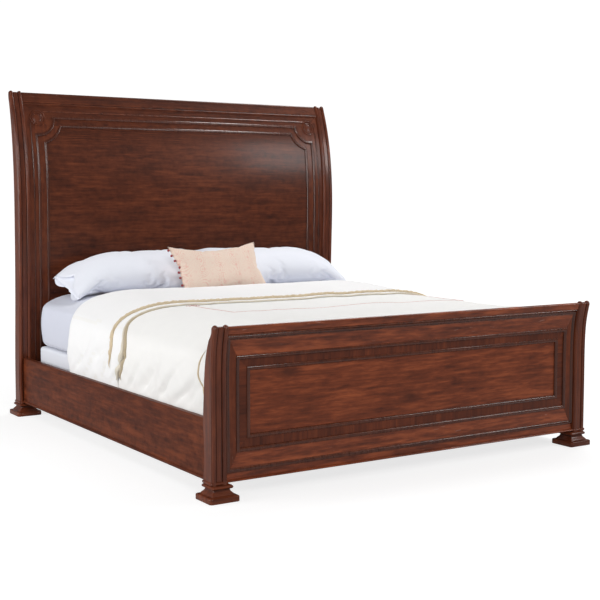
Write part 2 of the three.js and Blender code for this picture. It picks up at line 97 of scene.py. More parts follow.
class SLEIGHBED_PG_joinery(bpy.types.PropertyGroup):
    """Sizes of the beads and mouldings"""

    bead_width: length("Bead width", "Width of the beads on the posts", 0.0180)
    bead_rise: length("Bead rise", "Height of the beads over the flat of the post", 0.0068)
    bead_inset: length("Bead inset", "Bead centre to the edge of the post", 0.0110)
    ease: length("Eased edge", "Rounding of cut edges", 0.0009)
    head_set: length("Head panel set", "Headboard panelling behind the flat of its posts", 0.0070)
    foot_set: length("Foot panel set", "Footboard panelling behind the flat of its posts", 0.0110)
    level_drop: length("Level drop", "Drop from one panelling level to the next", 0.0042)
    step: length("Curve step", "Height of one facet of the curved boards", 0.012)


class SLEIGHBED_PG_bedding(bpy.types.PropertyGroup):
    """Colours and sizes of the bedding"""

    sheet: colour("Sheeting", "Fitted sheet and pillowcases", (0.84, 0.86, 0.93))
    fitted: colour("Fitted sheet", "Fitted sheet of the mattress", (0.66, 0.68, 0.775))
    coverlet: colour("Coverlet", "Outside of the coverlet", (0.90, 0.89, 0.87))
    lining: colour("Lining", "Turned-back lining of the coverlet", (0.92, 0.915, 0.915))
    cord: colour("Cord", "Beige cord along the coverlet's turned-back edge", (0.66, 0.54, 0.37))
    hem: colour("Hem", "Rolled hem of the turned-back part", (0.72, 0.66, 0.55))
    embroidery: colour("Embroidery", "Fine line stitched on the coverlet", (0.60, 0.30, 0.27))
    print_ground: colour("Print ground", "Ground of the accent pillow", (0.83, 0.67, 0.56))
    print_rose: colour("Print rose", "Printed figure of the accent pillow", (0.74, 0.33, 0.27))
    pompom: colour("Pompom", "Pompoms of the accent pillow", (0.33, 0.045, 0.05))


class SLEIGHBED_PG_studio(bpy.types.PropertyGroup):
    """Light and floor"""

    key: power("Key light", "Power of the large front light", 165.0)
    side: power("Side light", "Power of the light on the left", 150.0)
    glare: power("Glare light", "Power of the light on the right", 40.0)
    overhead: power("Overhead", "Power of the light above", 125.0)
    sky: factor("Sky", "Strength of the even light from all round", 0.22, 5.0)


# ---------------------------------------------------------------------- mesh helpers
def make_piece(name, vertices, faces, material, slot, body="bedstead", replaces=(), angle=38.0):
    """Mesh object from points and faces, welded, smoothed up to an angle and tied to its body."""
    mesh = bpy.data.meshes.new(name)
    mesh.from_pydata([tuple(v) for v in vertices], [], faces)
    tidy = bmesh.new()
    tidy.from_mesh(mesh)
    bmesh.ops.remove_doubles(tidy, verts=tidy.verts, dist=1e-6)
    bmesh.ops.dissolve_degenerate(tidy, edges=tidy.edges, dist=1e-7)
    bmesh.ops.recalc_face_normals(tidy, faces=tidy.faces)
    tidy.to_mesh(mesh)
    tidy.free()
    mesh.shade_smooth()
    mesh.set_sharp_from_angle(angle=math.radians(angle))
    mesh.materials.append(material)
    piece = bpy.data.objects.new(name, mesh)
    bpy.context.scene.collection.objects.link(piece)
    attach(piece, body)
    if replaces:
        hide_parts(*replaces)
    return piece


def loft(rings, closed=False):
    """Vertices and faces through rings of equal length."""
    size = len(rings[0])
    vertices = [point for ring in rings for point in ring]
    faces = []
    for i in range(len(rings) if closed else len(rings) - 1):
        here = i * size
        there = ((i + 1) % len(rings)) * size
        for k in range(size):
            n = (k + 1) % size
            faces.append((here + k, here + n, there + n, there + k))
    if not closed:
        last = (len(rings) - 1) * size
        for k in range(size // 2 - (1 - size % 2)):
            a, b, c, d = k, k + 1, size - 2 - k, size - 1 - k
            faces.append((a, d, c, b) if b != c else (a, d, b))
            faces.append(tuple(last + i for i in ((a, b, c, d) if b != c else (a, b, d))))
    return vertices, faces


def joined(*parts):
    """One list of vertices and one of faces from several lofts."""
    vertices, faces = [], []
    for part_vertices, part_faces in parts:
        start = len(vertices)
        vertices += part_vertices
        faces += [tuple(start + i for i in face) for face in part_faces]
    return vertices, faces


def steps(low, high, size):
    """Even steps from low to high, no longer than size."""
    count = max(1, math.ceil((high - low) / size - 1e-6))
    return [low + (high - low) * i / count for i in range(count + 1)]


def smoothstep(low, high, value):
    t = min(1.0, max(0.0, (value - low) / (high - low)))
    return t * t * (3 - 2 * t)


# -------------------------------------------------------------------- curved end boards
class Board:
    """The side curve of an end board, measured on one of its posts in the frame."""

    SPACING = 0.008

    def __init__(self, post, window):
        lowest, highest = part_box(post)
        tree = self.tree_of(post)
        middle = (lowest.x + highest.x) / 2
        self.low, self.top = lowest.z, highest.z
        self.heights = steps(self.low + 0.002, self.top - 0.026, self.SPACING)
        reach = max(1, round(window / self.SPACING))
        self.fronts = self.eased([self.hit(tree, middle, z, 1) for z in self.heights], reach)
        self.backs = self.eased([self.hit(tree, middle, z, -1) for z in self.heights], reach)
        self.crown = tree.ray_cast(Vector((middle, self.hit(tree, middle, self.top - 0.012, 1) + 0.006, 3)),
                                   Vector((0, 0, -1)))[0].z

    @staticmethod
    def tree_of(node):
        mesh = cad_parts[node].data
        return BVHTree.FromPolygons([v.co for v in mesh.vertices], [tuple(p.vertices) for p in mesh.polygons])

    @staticmethod
    def hit(tree, x, z, way):
        found = tree.ray_cast(Vector((x, -3.0 * way, z)), Vector((0, way, 0)))[0]
        if found is None:
            raise RuntimeError("the post was not met by the measuring ray")
        return found.y

    @staticmethod
    def eased(values, reach):
        """Twice-averaged values, with the ends carried on in their own slope."""
        for _ in range(2):
            first = [2 * values[0] - values[i] for i in range(reach, 0, -1)]
            last = [2 * values[-1] - values[-1 - i] for i in range(1, reach + 1)]
            row = first + values + last
            values = [sum(row[i:i + 2 * reach + 1]) / (2 * reach + 1) for i in range(len(values))]
        return values

    def read(self, values, z):
        place = (z - self.heights[0]) / (self.heights[1] - self.heights[0])
        i = min(len(values) - 2, max(0, math.floor(place)))
        return values[i] + (values[i + 1] - values[i]) * (place - i)

    def front(self, z):
        return self.read(self.fronts, z)

    def back(self, z):
        return self.read(self.backs, z)

    def slope(self, z):
        return (self.front(z + 0.006) - self.front(z - 0.006)) / 0.012

    def point(self, x, z, out=0.0):
        """Point on the front at x and z, moved out of the face by out."""
        slope = self.slope(z)
        norm = math.hypot(1, slope)
        return Vector((x, self.front(z) - out / norm, z + out * slope / norm))

    def outline(self, low, step=0.012):
        """Points and outward normals up the face, over the roll and down the back."""
        radius = 0.0095
        centre_z = self.crown - radius
        centre_y = self.front(centre_z) + radius
        path = []
        for z in steps(low, centre_z, step):
            slope = self.slope(z)
            norm = math.hypot(1, slope)
            path.append((self.front(z), z, -1 / norm, slope / norm, 1.0))
        for i in range(1, 12):
            angle = math.pi * (1 - i / 12)
            weight = 1.0 if i < 6 else 1.0 - smoothstep(5, 12, i)
            path.append((centre_y + radius * math.cos(angle), centre_z + radius * math.sin(angle),
                         math.cos(angle), math.sin(angle), weight))
        for z in reversed(steps(low, centre_z, step)):
            blend = smoothstep(centre_z - 0.05, centre_z, z)
            y = self.back(z) * (1 - blend) + (centre_y + radius) * blend
            path.append((y, z, 1.0, 0.0, 0.0))
        return path


UNDERLAP = 0.010                                   # how far a field runs under its moulding


def patch(board, heights, left, right, set_back, thickness, ease):
    """Curved board between two edges, which may change with height."""
    rings = []
    for z in heights:
        x0, x1 = left(z), right(z)
        face = board.front(z) + set_back
        rear = face + thickness if thickness else board.back(z) - 0.004
        rings.append([
            Vector((x0, rear, z)), Vector((x0, face + ease, z)), Vector((x0 + ease, face, z)),
            Vector((x1 - ease, face, z)), Vector((x1, face + ease, z)), Vector((x1, rear, z)),
        ])
    return loft(rings)


def strip(board, outline, section, set_back, closed=True):
    """Moulding swept along an outline in (x, z) on a board's face; section is (across, out)."""
    rings = []
    count = len(outline)
    for i, (x, z) in enumerate(outline):
        before = outline[(i - 1) % count] if closed or i else None
        after = outline[(i + 1) % count] if closed or i < count - 1 else None
        into = Vector((x - before[0], z - before[1])) if before else None
        onto = Vector((after[0] - x, after[1] - z)) if after else None
        into, onto = into or onto, onto or into
        side_in = Vector((-into.y, into.x)).normalized()
        side_out = Vector((-onto.y, onto.x)).normalized()
        mitre = side_in + side_out
        mitre *= 2 / mitre.length_squared
        rings.append([
            board.point(x + mitre.x * across, z + mitre.y * across, out - set_back)
            for across, out in section
        ])
    return loft(rings, closed=closed)


def divided(outline, size, closed=True):
    """Outline with its long runs cut into steps."""
    points = []
    count = len(outline)
    for i in range(count if closed else count - 1):
        (x0, z0), (x1, z1) = outline[i], outline[(i + 1) % count]
        run = math.hypot(x1 - x0, z1 - z0)
        pieces = max(1, round(abs(z1 - z0) / size)) if abs(z1 - z0) > 0.5 * run else 1
        points += [(x0 + (x1 - x0) * k / pieces, z0 + (z1 - z0) * k / pieces) for k in range(pieces)]
    if not closed:
        points.append(outline[-1])
    return points


def bead_section(width, rise, drop=0.0, root=0.006):
    """Round bead with a quirk on its outer side, falling to a lower level on its inner side."""
    section = [(-0.0016, -root), (-0.0016, 0.0), (0.0, -0.0010)]
    for i in range(9):
        angle = math.pi * (1 - i / 8)
        low = -drop if i > 4 else 0.0
        section.append((width / 2 + width / 2 * math.cos(angle), low + (rise - low) * math.sin(angle)))
    section += [(width + 0.0022, -drop - 0.0004), (width + 0.0022, -root - drop)]
    return section


# ----------------------------------------------------------------------- node groups
def new_group(name, inputs, outputs):
    tree = bpy.data.node_groups.new(name, "ShaderNodeTree")
    for label, kind, default in inputs:
        socket = tree.interface.new_socket(label, in_out="INPUT", socket_type=f"NodeSocket{kind}")
        if default is not None:
            socket.default_value = default
    for label, kind in outputs:
        tree.interface.new_socket(label, in_out="OUTPUT", socket_type=f"NodeSocket{kind}")
    return tree, tree.nodes.new("NodeGroupInput"), tree.nodes.new("NodeGroupOutput")


class Graph:
    """Short calls that place and join shader nodes."""

    def __init__(self, tree):
        self.tree = tree

    def node(self, kind, inputs=None, **settings):
        made = self.tree.nodes.new(f"ShaderNode{kind}")
        for key, value in settings.items():
            setattr(made, key, value)
        for key, value in (inputs or {}).items():
            self.put(made.inputs[key], value)
        return made

    def put(self, socket, value):
        if isinstance(value, bpy.types.NodeSocket):
            self.tree.links.new(value, socket)
        else:
            socket.default_value = value

    def math(self, operation, a, b=None, clamp=False):
        made = self.node("Math", {0: a}, operation=operation, use_clamp=clamp)
        if b is not None:
            self.put(made.inputs[1], b)
        return made.outputs[0]

    def mix(self, share, a, b, blend="MIX"):
        made = self.node("Mix", data_type="RGBA", blend_type=blend)
        self.put(made.inputs[0], share)
        self.put(made.inputs[6], a)
        self.put(made.inputs[7], b)
        return made.outputs[2]

    def ramp(self, value, low, high, to_low=0.0, to_high=1.0):
        made = self.node("MapRange", {0: value, 1: low, 2: high, 3: to_low, 4: to_high})
        made.clamp = True
        return made.outputs[0]

    def noise(self, vector, scale, detail=4.0, rough=0.5, distortion=0.0):
        return self.node("TexNoise", {"Vector": vector, "Scale": scale, "Detail": detail,
                                      "Roughness": rough, "Distortion": distortion}).outputs["Fac"]


def rgba(values):
    return (*values, 1.0)


def grain_group():
    """Stained wood: grain runs along the vector's X."""
    tree, given, result = new_group("Wood Grain", [
        ("Vector", "Vector", None), ("Dark", "Color", rgba((0.05, 0.02, 0.01))),
        ("Mid", "Color", rgba((0.1, 0.03, 0.02))), ("Light", "Color", rgba((0.2, 0.07, 0.03))),
        ("Figure", "Float", 0.5), ("Knots", "Float", 0.0),
    ], [("Color", "Color"), ("Roughness", "Float"), ("Height", "Float")])
    g = Graph(tree)
    here = given.outputs["Vector"]
    stretched = g.node("Mapping", {"Vector": here, "Scale": (1.0, 8.0, 8.0)}).outputs[0]
    fine = g.node("Mapping", {"Vector": here, "Scale": (2.8, 78.0, 78.0)}).outputs[0]
    pore = g.node("Mapping", {"Vector": here, "Scale": (14.0, 330.0, 330.0)}).outputs[0]
    bands = g.noise(stretched, 4.6, 5.0, 0.55, 0.35)
    wisps = g.noise(stretched, 12.0, 4.0, 0.6, 0.5)
    clouds = g.noise(here, 2.3, 3.0, 0.5, 0.4)
    streaks = g.noise(fine, 1.0, 4.0, 0.6)
    pores = g.noise(pore, 1.0, 2.0, 0.6)
    figure = g.math("MULTIPLY", given.outputs["Figure"], 2.0)
    swing = g.math("MULTIPLY", g.math("SUBTRACT", bands, 0.5), figure)
    spread = g.math("MULTIPLY", g.math("SUBTRACT", wisps, 0.5), figure)
    tone = g.math("ADD", g.math("ADD", 0.5, swing), g.math("MULTIPLY", spread, 0.7))
    tone = g.math("ADD", tone, g.math("MULTIPLY", g.math("SUBTRACT", clouds, 0.5), 0.45))
    tone = g.math("ADD", tone, g.math("MULTIPLY", g.math("SUBTRACT", streaks, 0.5), 0.75))
    below = g.ramp(tone, 0.02, 0.52)
    above = g.ramp(tone, 0.50, 1.08)
    colour_out = g.mix(below, given.outputs["Dark"], given.outputs["Mid"])
    colour_out = g.mix(above, colour_out, given.outputs["Light"])
    pore_mask = g.ramp(pores, 0.36, 0.27)
    colour_out = g.mix(g.math("MULTIPLY", pore_mask, 0.45), colour_out, given.outputs["Dark"])
    squeezed = g.node("Mapping", {"Vector": here, "Scale": (2.6, 6.0, 6.0)}).outputs[0]
    cells = g.node("TexVoronoi", {"Vector": squeezed, "Scale": 1.0, "Randomness": 1.0}).outputs["Distance"]
    wobble = g.math("ADD", cells, g.math("MULTIPLY", g.math("SUBTRACT", wisps, 0.5), 0.12))
    knot = g.math("MULTIPLY", g.ramp(wobble, 0.20, 0.06), given.outputs["Knots"])
    colour_out = g.mix(knot, colour_out, given.outputs["Dark"])
    tree.links.new(colour_out, result.inputs["Color"])
    tree.links.new(g.math("ADD", g.math("MULTIPLY", streaks, 0.12), g.math("MULTIPLY", clouds, 0.10)),
                   result.inputs["Roughness"])
    height = g.math("SUBTRACT", g.math("MULTIPLY", streaks, 0.35), g.math("MULTIPLY", pore_mask, 0.65))
    tree.links.new(height, result.inputs["Height"])
    return tree


def rub_and_painted_light_group():
    """Marks of the finish: rubbed edges, which also paint highlight on the bead crests; small flecks along
    the grain where the finish is chipped; and painted shade in recesses.
    """
    tree, given, result = new_group("Rubbed Finish", [
        ("Vector", "Vector", None), ("Edges", "Float", 0.3), ("Flecks", "Float", 0.0),
    ], [("Edge Mask", "Float"), ("Fleck Mask", "Float"), ("Recess Mask", "Float")])
    g = Graph(tree)
    here = given.outputs["Vector"]
    point = g.node("NewGeometry").outputs["Pointiness"]
    # Painted shade: concave places, found by low pointiness, are masked for darkening
    tree.links.new(g.ramp(point, 0.492, 0.43), result.inputs["Recess Mask"])
    rough = g.noise(here, 26.0, 5.0, 0.6)
    # Convex edges and bead crests are lightened: partly rubbed wear, partly painted highlight
    edge = g.math("MULTIPLY", g.ramp(point, 0.515, 0.60), g.ramp(rough, 0.35, 0.62))
    tree.links.new(g.math("MULTIPLY", edge, given.outputs["Edges"]), result.inputs["Edge Mask"])
    along = g.node("Mapping", {"Vector": here, "Scale": (16.0, 90.0, 90.0)}).outputs[0]
    chips = g.ramp(g.noise(along, 1.0, 5.0, 0.65, 0.5), 0.635, 0.70)
    zone = g.ramp(g.noise(here, 3.4, 2.0, 0.5), 0.50, 0.62)
    tree.links.new(g.math("MULTIPLY", g.math("MULTIPLY", chips, zone), given.outputs["Flecks"]),
                   result.inputs["Fleck Mask"])
    return tree


def weave_group():
    """Plain woven cloth: thread height and a slight change of tone."""
    tree, given, result = new_group("Cloth Weave", [
        ("Vector", "Vector", None), ("Threads", "Float", 900.0), ("Slub", "Float", 0.3),
    ], [("Height", "Float"), ("Tone", "Float")])
    g = Graph(tree)
    here = given.outputs["Vector"]
    threads = []
    for axis in ("X", "Y", "Z"):
        wave = g.node("TexWave", {"Vector": here, "Scale": given.outputs["Threads"], "Distortion": 0.6,
                                  "Detail": 1.0}, wave_type="BANDS", bands_direction=axis)
        threads.append(wave.outputs["Fac"])
    height = g.math("MULTIPLY", g.math("ADD", g.math("ADD", threads[0], threads[1]), threads[2]), 0.33)
    cloud = g.noise(here, 14.0, 4.0, 0.6)
    thread = g.noise(here, 260.0, 3.0, 0.6)
    tone = g.math("ADD", g.math("MULTIPLY", cloud, given.outputs["Slub"]), g.math("MULTIPLY", thread, 0.25))
    tree.links.new(g.math("ADD", height, g.math("MULTIPLY", thread, 0.5)), result.inputs["Height"])
    tree.links.new(tone, result.inputs["Tone"])
    return tree


RELIEF_DEPTH = 0.0006
GRAIN_TURN = {"x": (0, 0, 0), "y": (0, 0, math.pi / 2), "z": (0, math.pi / 2, 0)}
GROUPS = {"Wood Grain": grain_group, "Rubbed Finish": rub_and_painted_light_group, "Cloth Weave": weave_group}


def group_node(graph, name, inputs):
    tree = bpy.data.node_groups.get(name) or GROUPS[name]()
    made = graph.tree.nodes.new("ShaderNodeGroup")
    made.node_tree = tree
    for key, value in inputs.items():
        graph.put(made.inputs[key], value)
    return made.outputs


def new_material(name):
    material = bpy.data.materials.new(name)
    material.use_nodes = True
    graph = Graph(material.node_tree)
    return material, graph, material.node_tree.nodes["Principled BSDF"]


def relief(g, shader, height, strength):
    """Fine surface relief from a height value."""
    bump = g.node("Bump", {"Strength": strength, "Distance": RELIEF_DEPTH, "Height": height})
    g.put(shader.inputs["Normal"], bump.outputs[0])


def lacquer(g, shader, base, grained, gloss=0.0):
    """Satin lacquer over a stained base; gloss above 0 is shinier, below 0 flatter."""
    look = bpy.context.scene.sleighbed_wood
    g.put(shader.inputs["Base Color"], base)
    g.put(shader.inputs["Roughness"],
          g.math("ADD", grained["Roughness"], look.roughness - 0.10 - 0.10 * gloss))
    shader.inputs["Coat Weight"].default_value = max(0.0, look.coat + 0.6 * gloss)
    shader.inputs["Coat Roughness"].default_value = 0.18
    shader.inputs["Specular IOR Level"].default_value = 0.17 * (1 + min(0.0, gloss))
    relief(g, shader, grained["Height"], 0.16 * (1 - 0.8 * max(0.0, gloss)))


def wood(name, grain="x", tone_and_light=1.0, figure=0.5, knots=0.0, flecks=0.0, shift=0.0, gloss=0.0, rub_and_highlight=1.0):
    """Stained and lacquered cherry with its grain along one axis."""
    known = bpy.data.materials.get(name)
    if known:
        return known
    look = bpy.context.scene.sleighbed_wood
    material, g, shader = new_material(name)
    place = g.node("TexCoord").outputs["Object"]
    turned = g.node("Mapping", {"Vector": place, "Location": (shift, shift * 0.7, shift * 1.3),
                                "Rotation": GRAIN_TURN[grain]}).outputs[0]
    # The per-part factor scales the stain to how bright each part looks: painted light as well as the part's
    # own tone; footboard pieces are far lighter than the same cherry on the headboard
    tint = [rgba(c * tone_and_light for c in tone) for tone in (look.dark, look.mid, look.light)]
    grained = group_node(g, "Wood Grain", {"Vector": turned, "Dark": tint[0], "Mid": tint[1],
                                           "Light": tint[2], "Figure": figure, "Knots": knots})
    rubs_and_painted_light = group_node(g, "Rubbed Finish", {"Vector": turned, "Edges": look.rub_and_highlight * rub_and_highlight, "Flecks": flecks})
    # Light colour on convex edges: partly wear, partly painted highlight on the bead crests
    rubbed_and_highlight = rgba(min(1.0, c * 2.2) for c in look.light)
    chipped = rgba((0.46, 0.27, 0.22))
    base = g.mix(rubs_and_painted_light["Edge Mask"], grained["Color"], rubbed_and_highlight)
    base = g.mix(rubs_and_painted_light["Fleck Mask"], base, chipped)
    # Painted shade: recesses and quirks are darkened to a deep stain in place of their shadow
    painted_recess_shade = rgba(c * 0.25 * tone_and_light for c in look.dark)
    base = g.mix(g.math("MULTIPLY", rubs_and_painted_light["Recess Mask"], 0.85), base, painted_recess_shade)
    lacquer(g, shader, base, grained, gloss)
    return material


def fabric(name, tint, threads=900.0, depth=0.10, sheen=0.25, slub=0.3):
    """Plain cloth in one colour."""
    known = bpy.data.materials.get(name)
    if known:
        return known
    material, g, shader = new_material(name)
    place = g.node("TexCoord").outputs["Object"]
    woven = group_node(g, "Cloth Weave", {"Vector": place, "Threads": threads, "Slub": slub})
    darker = rgba(c * 0.955 for c in tint)
    g.put(shader.inputs["Base Color"], g.mix(g.ramp(woven["Tone"], 0.05, 0.5), darker, rgba(tint)))
    shader.inputs["Roughness"].default_value = 0.88
    shader.inputs["Sheen Weight"].default_value = sheen
    shader.inputs["Sheen Roughness"].default_value = 0.45
    shader.inputs["Specular IOR Level"].default_value = 0.25
    relief(g, shader, woven["Height"], depth)
    return material


def plain_finish(name, tint, rough, metal=0.0, scale=60.0):
    """Metal or moulded plastic with faint handling marks."""
    known = bpy.data.materials.get(name)
    if known:
        return known
    material, g, shader = new_material(name)
    place = g.node("TexCoord").outputs["Object"]
    marks = g.noise(place, scale, 5.0, 0.6)
    g.put(shader.inputs["Base Color"], g.mix(marks, rgba(c * 0.8 for c in tint), rgba(tint)))
    g.put(shader.inputs["Roughness"], g.ramp(marks, 0.3, 0.7, rough - 0.08, rough + 0.08))
    shader.inputs["Metallic"].default_value = metal
    g.put(shader.inputs["Normal"], g.node("Bump", {"Strength": 0.05, "Distance": 0.0005,
                                                   "Height": marks}).outputs[0])
    return material


# ------------------------------------------------------------------ outlines on a board
class Outline:
    """Outline on a board, the same on both sides, with round notches at its top corners."""

    def __init__(self, half, low, high, notch=0.0, centre=None):
        self.half, self.low, self.high, self.notch, self.centre = half, low, high, notch, centre

    def inset(self, by):
        return Outline(self.half - by, self.low + by, self.high - by,
                       self.notch + by if self.notch else 0.0, self.centre)

    def reach(self, z):
        """Half width at a height."""
        if not self.notch or z <= self.centre[1] - self.notch:
            return self.half
        across = math.sqrt(max(0.0, self.notch ** 2 - (z - self.centre[1]) ** 2))
        return min(self.half, self.centre[0] - across)

    def points(self, size):
        """Corner and arc points, anticlockwise seen from the front."""
        if self.notch:
            cx, cz = self.centre
            first = -math.acos((self.half - cx) / self.notch)
            last = -math.pi - math.asin((self.high - cz) / self.notch)
            count = 14
            right = [(cx + self.notch * math.cos(a), cz + self.notch * math.sin(a))
                     for a in (first + (last - first) * i / count for i in range(count + 1))]
        else:
            right = [(self.half, self.high)]
        left = [(-x, z) for x, z in reversed(right)]
        return divided([(-self.half, self.low), (self.half, self.low), *right, *left], size)


def node_outline(node, notch=0.0, centre=None):
    lowest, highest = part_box(node)
    return Outline(highest.x, lowest.z, highest.z, notch, centre)


NOTCH_SEARCH = 1.40                                # height below the headboard's notched corners


def ring_field(board, outer, inner, set_back, thickness, ease, mitred=True):
    """Sides and ends of the flat field between two outlines, mitred or butted at the corners."""
    rise = (outer.half - inner.half) / (outer.high - inner.high) if not inner.notch else 1.0
    fall = (outer.half - inner.half) / (inner.low - outer.low) if not inner.notch else 1.0

    def cut(z):
        if not mitred:
            return 0.0 if inner.low <= z <= inner.high else outer.reach(z)
        middle = (outer.low + outer.high) / 2
        return outer.half - (outer.high - z) * rise if z > middle else outer.half - (z - outer.low) * fall

    def inside(z):
        held = inner.reach(z) if inner.low <= z <= inner.high else 0.0
        return max(held, cut(z), 0.0)

    tip = 0.004
    low, high = (outer.low + tip, outer.high - tip) if mitred else (inner.low, inner.high)
    heights = steps(low, high, 0.006 if inner.notch else 0.012)
    form = (set_back, thickness, ease)
    sides = [patch(board, heights, inside, outer.reach, *form),
             patch(board, heights, lambda z: -outer.reach(z), lambda z: -inside(z), *form)]
    ends = []
    for low, high in ((outer.low, inner.low), (inner.high, outer.high)):
        half = (lambda z: min(cut(z), outer.reach(z))) if mitred else outer.reach
        ends.append(patch(board, steps(low, high, 0.008), lambda z: -half(z), half, *form))
    if inner.notch and mitred:
        from_z = next(z for z in steps(NOTCH_SEARCH, inner.high, 0.002) if cut(z) > inner.reach(z) + 0.001)
        heights = steps(from_z, inner.high, 0.004)
        ends.append(patch(board, heights, inner.reach, cut, set_back, thickness, 0.0))
        ends.append(patch(board, heights, lambda z: -cut(z), lambda z: -inner.reach(z), set_back, thickness,
                          0.0))
    return sides, ends


def framing(board, place, levels, outer, up, along):
    """Stiles and rails of an end board: their raised fields, and the boards behind them."""
    ease = bpy.context.scene.sleighbed_joinery.ease
    lowest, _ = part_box(f"{place}board_stile_left")
    _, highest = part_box(f"{place}board_stile_right")
    whole = Outline(highest.x, lowest.z, highest.z)
    step = levels[1] - levels[0]
    sides, ends = ring_field(board, whole, outer.inset(UNDERLAP), levels[0], 2 * step, ease)
    parts = (("stile_right", [sides[0]], up), ("stile_left", [sides[1]], up),
             ("bottom_rail", ends[:1], along), ("top_rail", ends[1:], along))
    for part, fields, material in parts:
        node = f"{place}board_{part}"
        make_piece(f"{place}_{part}", *joined(*fields, plain_board(board, node, levels[2], ease)), material,
                   "cherry", replaces=[node])


def framed_levels(set_back, drop):
    """Distances of the three panelling levels behind the flat of the posts."""
    return [set_back, set_back + drop, set_back + 2 * drop]


def plain_board(board, node, set_back, ease, thickness=None):
    """Back board of one node: its own box in x and z, curved with the end board."""
    lowest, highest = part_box(node)
    heights = steps(lowest.z, highest.z, 0.012)
    return patch(board, heights, lambda z: lowest.x, lambda z: highest.x, set_back, thickness, ease)


# --------------------------------------------------------------------------- woodwork
def post_profile(width):
    """Stations across a post: distance from its edge, height over its flat, and if it goes all round."""
    look = bpy.context.scene.sleighbed_joinery
    half_bead = look.bead_width / 2
    inner = look.bead_inset + half_bead
    half = [(0.0, -0.0012, True), (0.0010, -0.0001, True)]
    for i in range(9):
        angle = math.pi * i / 8
        half.append((look.bead_inset - half_bead * math.cos(angle), look.bead_rise * math.sin(angle), False))
    half += [(inner + 0.0006, -0.0018, False), (inner + 0.0026, -0.0018, False),
             (inner + 0.0034, 0.0, False), (width / 2, 0.0, False)]
    return half + [(width - x, rise, even) for x, rise, even in reversed(half[:-1])]


def end_post(board, node, name, material):
    lowest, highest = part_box(node)
    rings = []
    for x, rise, even in post_profile(highest.x - lowest.x):
        rings.append([
            Vector((lowest.x + x, y + ny * rise * (1 if even else w), z + nz * rise * (1 if even else w)))
            for y, z, ny, nz, w in board.outline(lowest.z)
        ])
    return make_piece(name, *loft(rings), material, "cherry", replaces=[node])


def top_cap(board, node, name, out, material):
    """Board top between the posts: its face runs up over the roll and down the back."""
    lowest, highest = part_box(node)
    ease = 0.0012
    rings = []
    for x, rise in ((lowest.x, out - ease), (lowest.x + ease, out), (0.0, out),
                    (highest.x - ease, out), (highest.x, out - ease)):
        rings.append([Vector((x, y + ny * rise, z + nz * rise))
                      for y, z, ny, nz, _ in board.outline(lowest.z)])
    return make_piece(name, *loft(rings), material, "cherry", replaces=[node])


def half_round(width, rise, root=0.005):
    section = [(0.0, -root)]
    for i in range(9):
        angle = math.pi * (1 - i / 8)
        section.append((width / 2 + width / 2 * math.cos(angle), rise * math.sin(angle)))
    return section + [(width, -root)]


def arc_section(across, out, radius, rise, count):
    """Half-round part of a moulding's section, after its first point."""
    turns = [math.pi * i / count for i in range(1, count + 1)]
    return [(across + radius - radius * math.cos(a), out + rise * math.sin(a)) for a in turns]


def straight_bead(board, node, name, section, set_back, material, vertical=False):
    """Bead along a node's length on the face of a board."""
    lowest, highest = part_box(node)
    if vertical:
        outline = [(highest.x, lowest.z), (highest.x, highest.z)]
    else:
        outline = [(lowest.x, lowest.z), (highest.x, lowest.z)]
    run = divided(outline, 0.010, closed=False)
    return make_piece(name, *strip(board, run, section, set_back, closed=False), material, "cherry",
                      replaces=[node], angle=50)


def rosette(board, node, name, set_back, material):
    """Turned disc with two rings and a low dome, laid along the curve of the board."""
    lowest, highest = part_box(node)
    cx, cz = (lowest.x + highest.x) / 2, rosette_centre()[1]
    profile = [(0.0004, -0.006), (0.0440, -0.006), (0.0440, 0.0003), (0.0432, 0.0026), (0.0408, 0.0044),
               (0.0383, 0.0028), (0.0368, 0.0002), (0.0318, 0.0001), (0.0306, 0.0020), (0.0282, 0.0033),
               (0.0258, 0.0020), (0.0244, -0.0002), (0.0228, 0.0004), (0.0150, 0.0020), (0.0075, 0.0028),
               (0.0004, 0.0030)]
    count = 56
    angles = [2 * math.pi * i / count for i in range(count)]
    rings = [[board.point(cx + r * math.cos(a), cz + r * math.sin(a), out - set_back) for a in angles]
             for r, out in profile]
    return make_piece(name, *loft(rings), material, "cherry", replaces=[node], angle=60)


def rosette_centre():
    lowest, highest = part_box("headboard_rosette_right")
    return ((lowest.x + highest.x) / 2, (lowest.z + highest.z) / 2 - 0.0007)


def head_board():
    return Board("headboard_post_left", 0.048)


def foot_board():
    return Board("footboard_post_left", 0.028)


class SLEIGHBED_OT_posts(bpy.types.Operator):
    """Build the four rolled posts with their beads"""

    bl_idname = "sleighbed.posts"
    bl_label = "Posts"

    def execute(self, context):
        material = wood("Cherry Post", "z", tone_and_light=1.55, figure=0.42, flecks=0.25, shift=0.37, gloss=0.45)
        for board, place in ((head_board(), "head"), (foot_board(), "foot")):
            for side, _ in SIDES:
                end_post(board, f"{place}board_post_{side}", f"{place}_post_{side}", material)
        return {"FINISHED"}


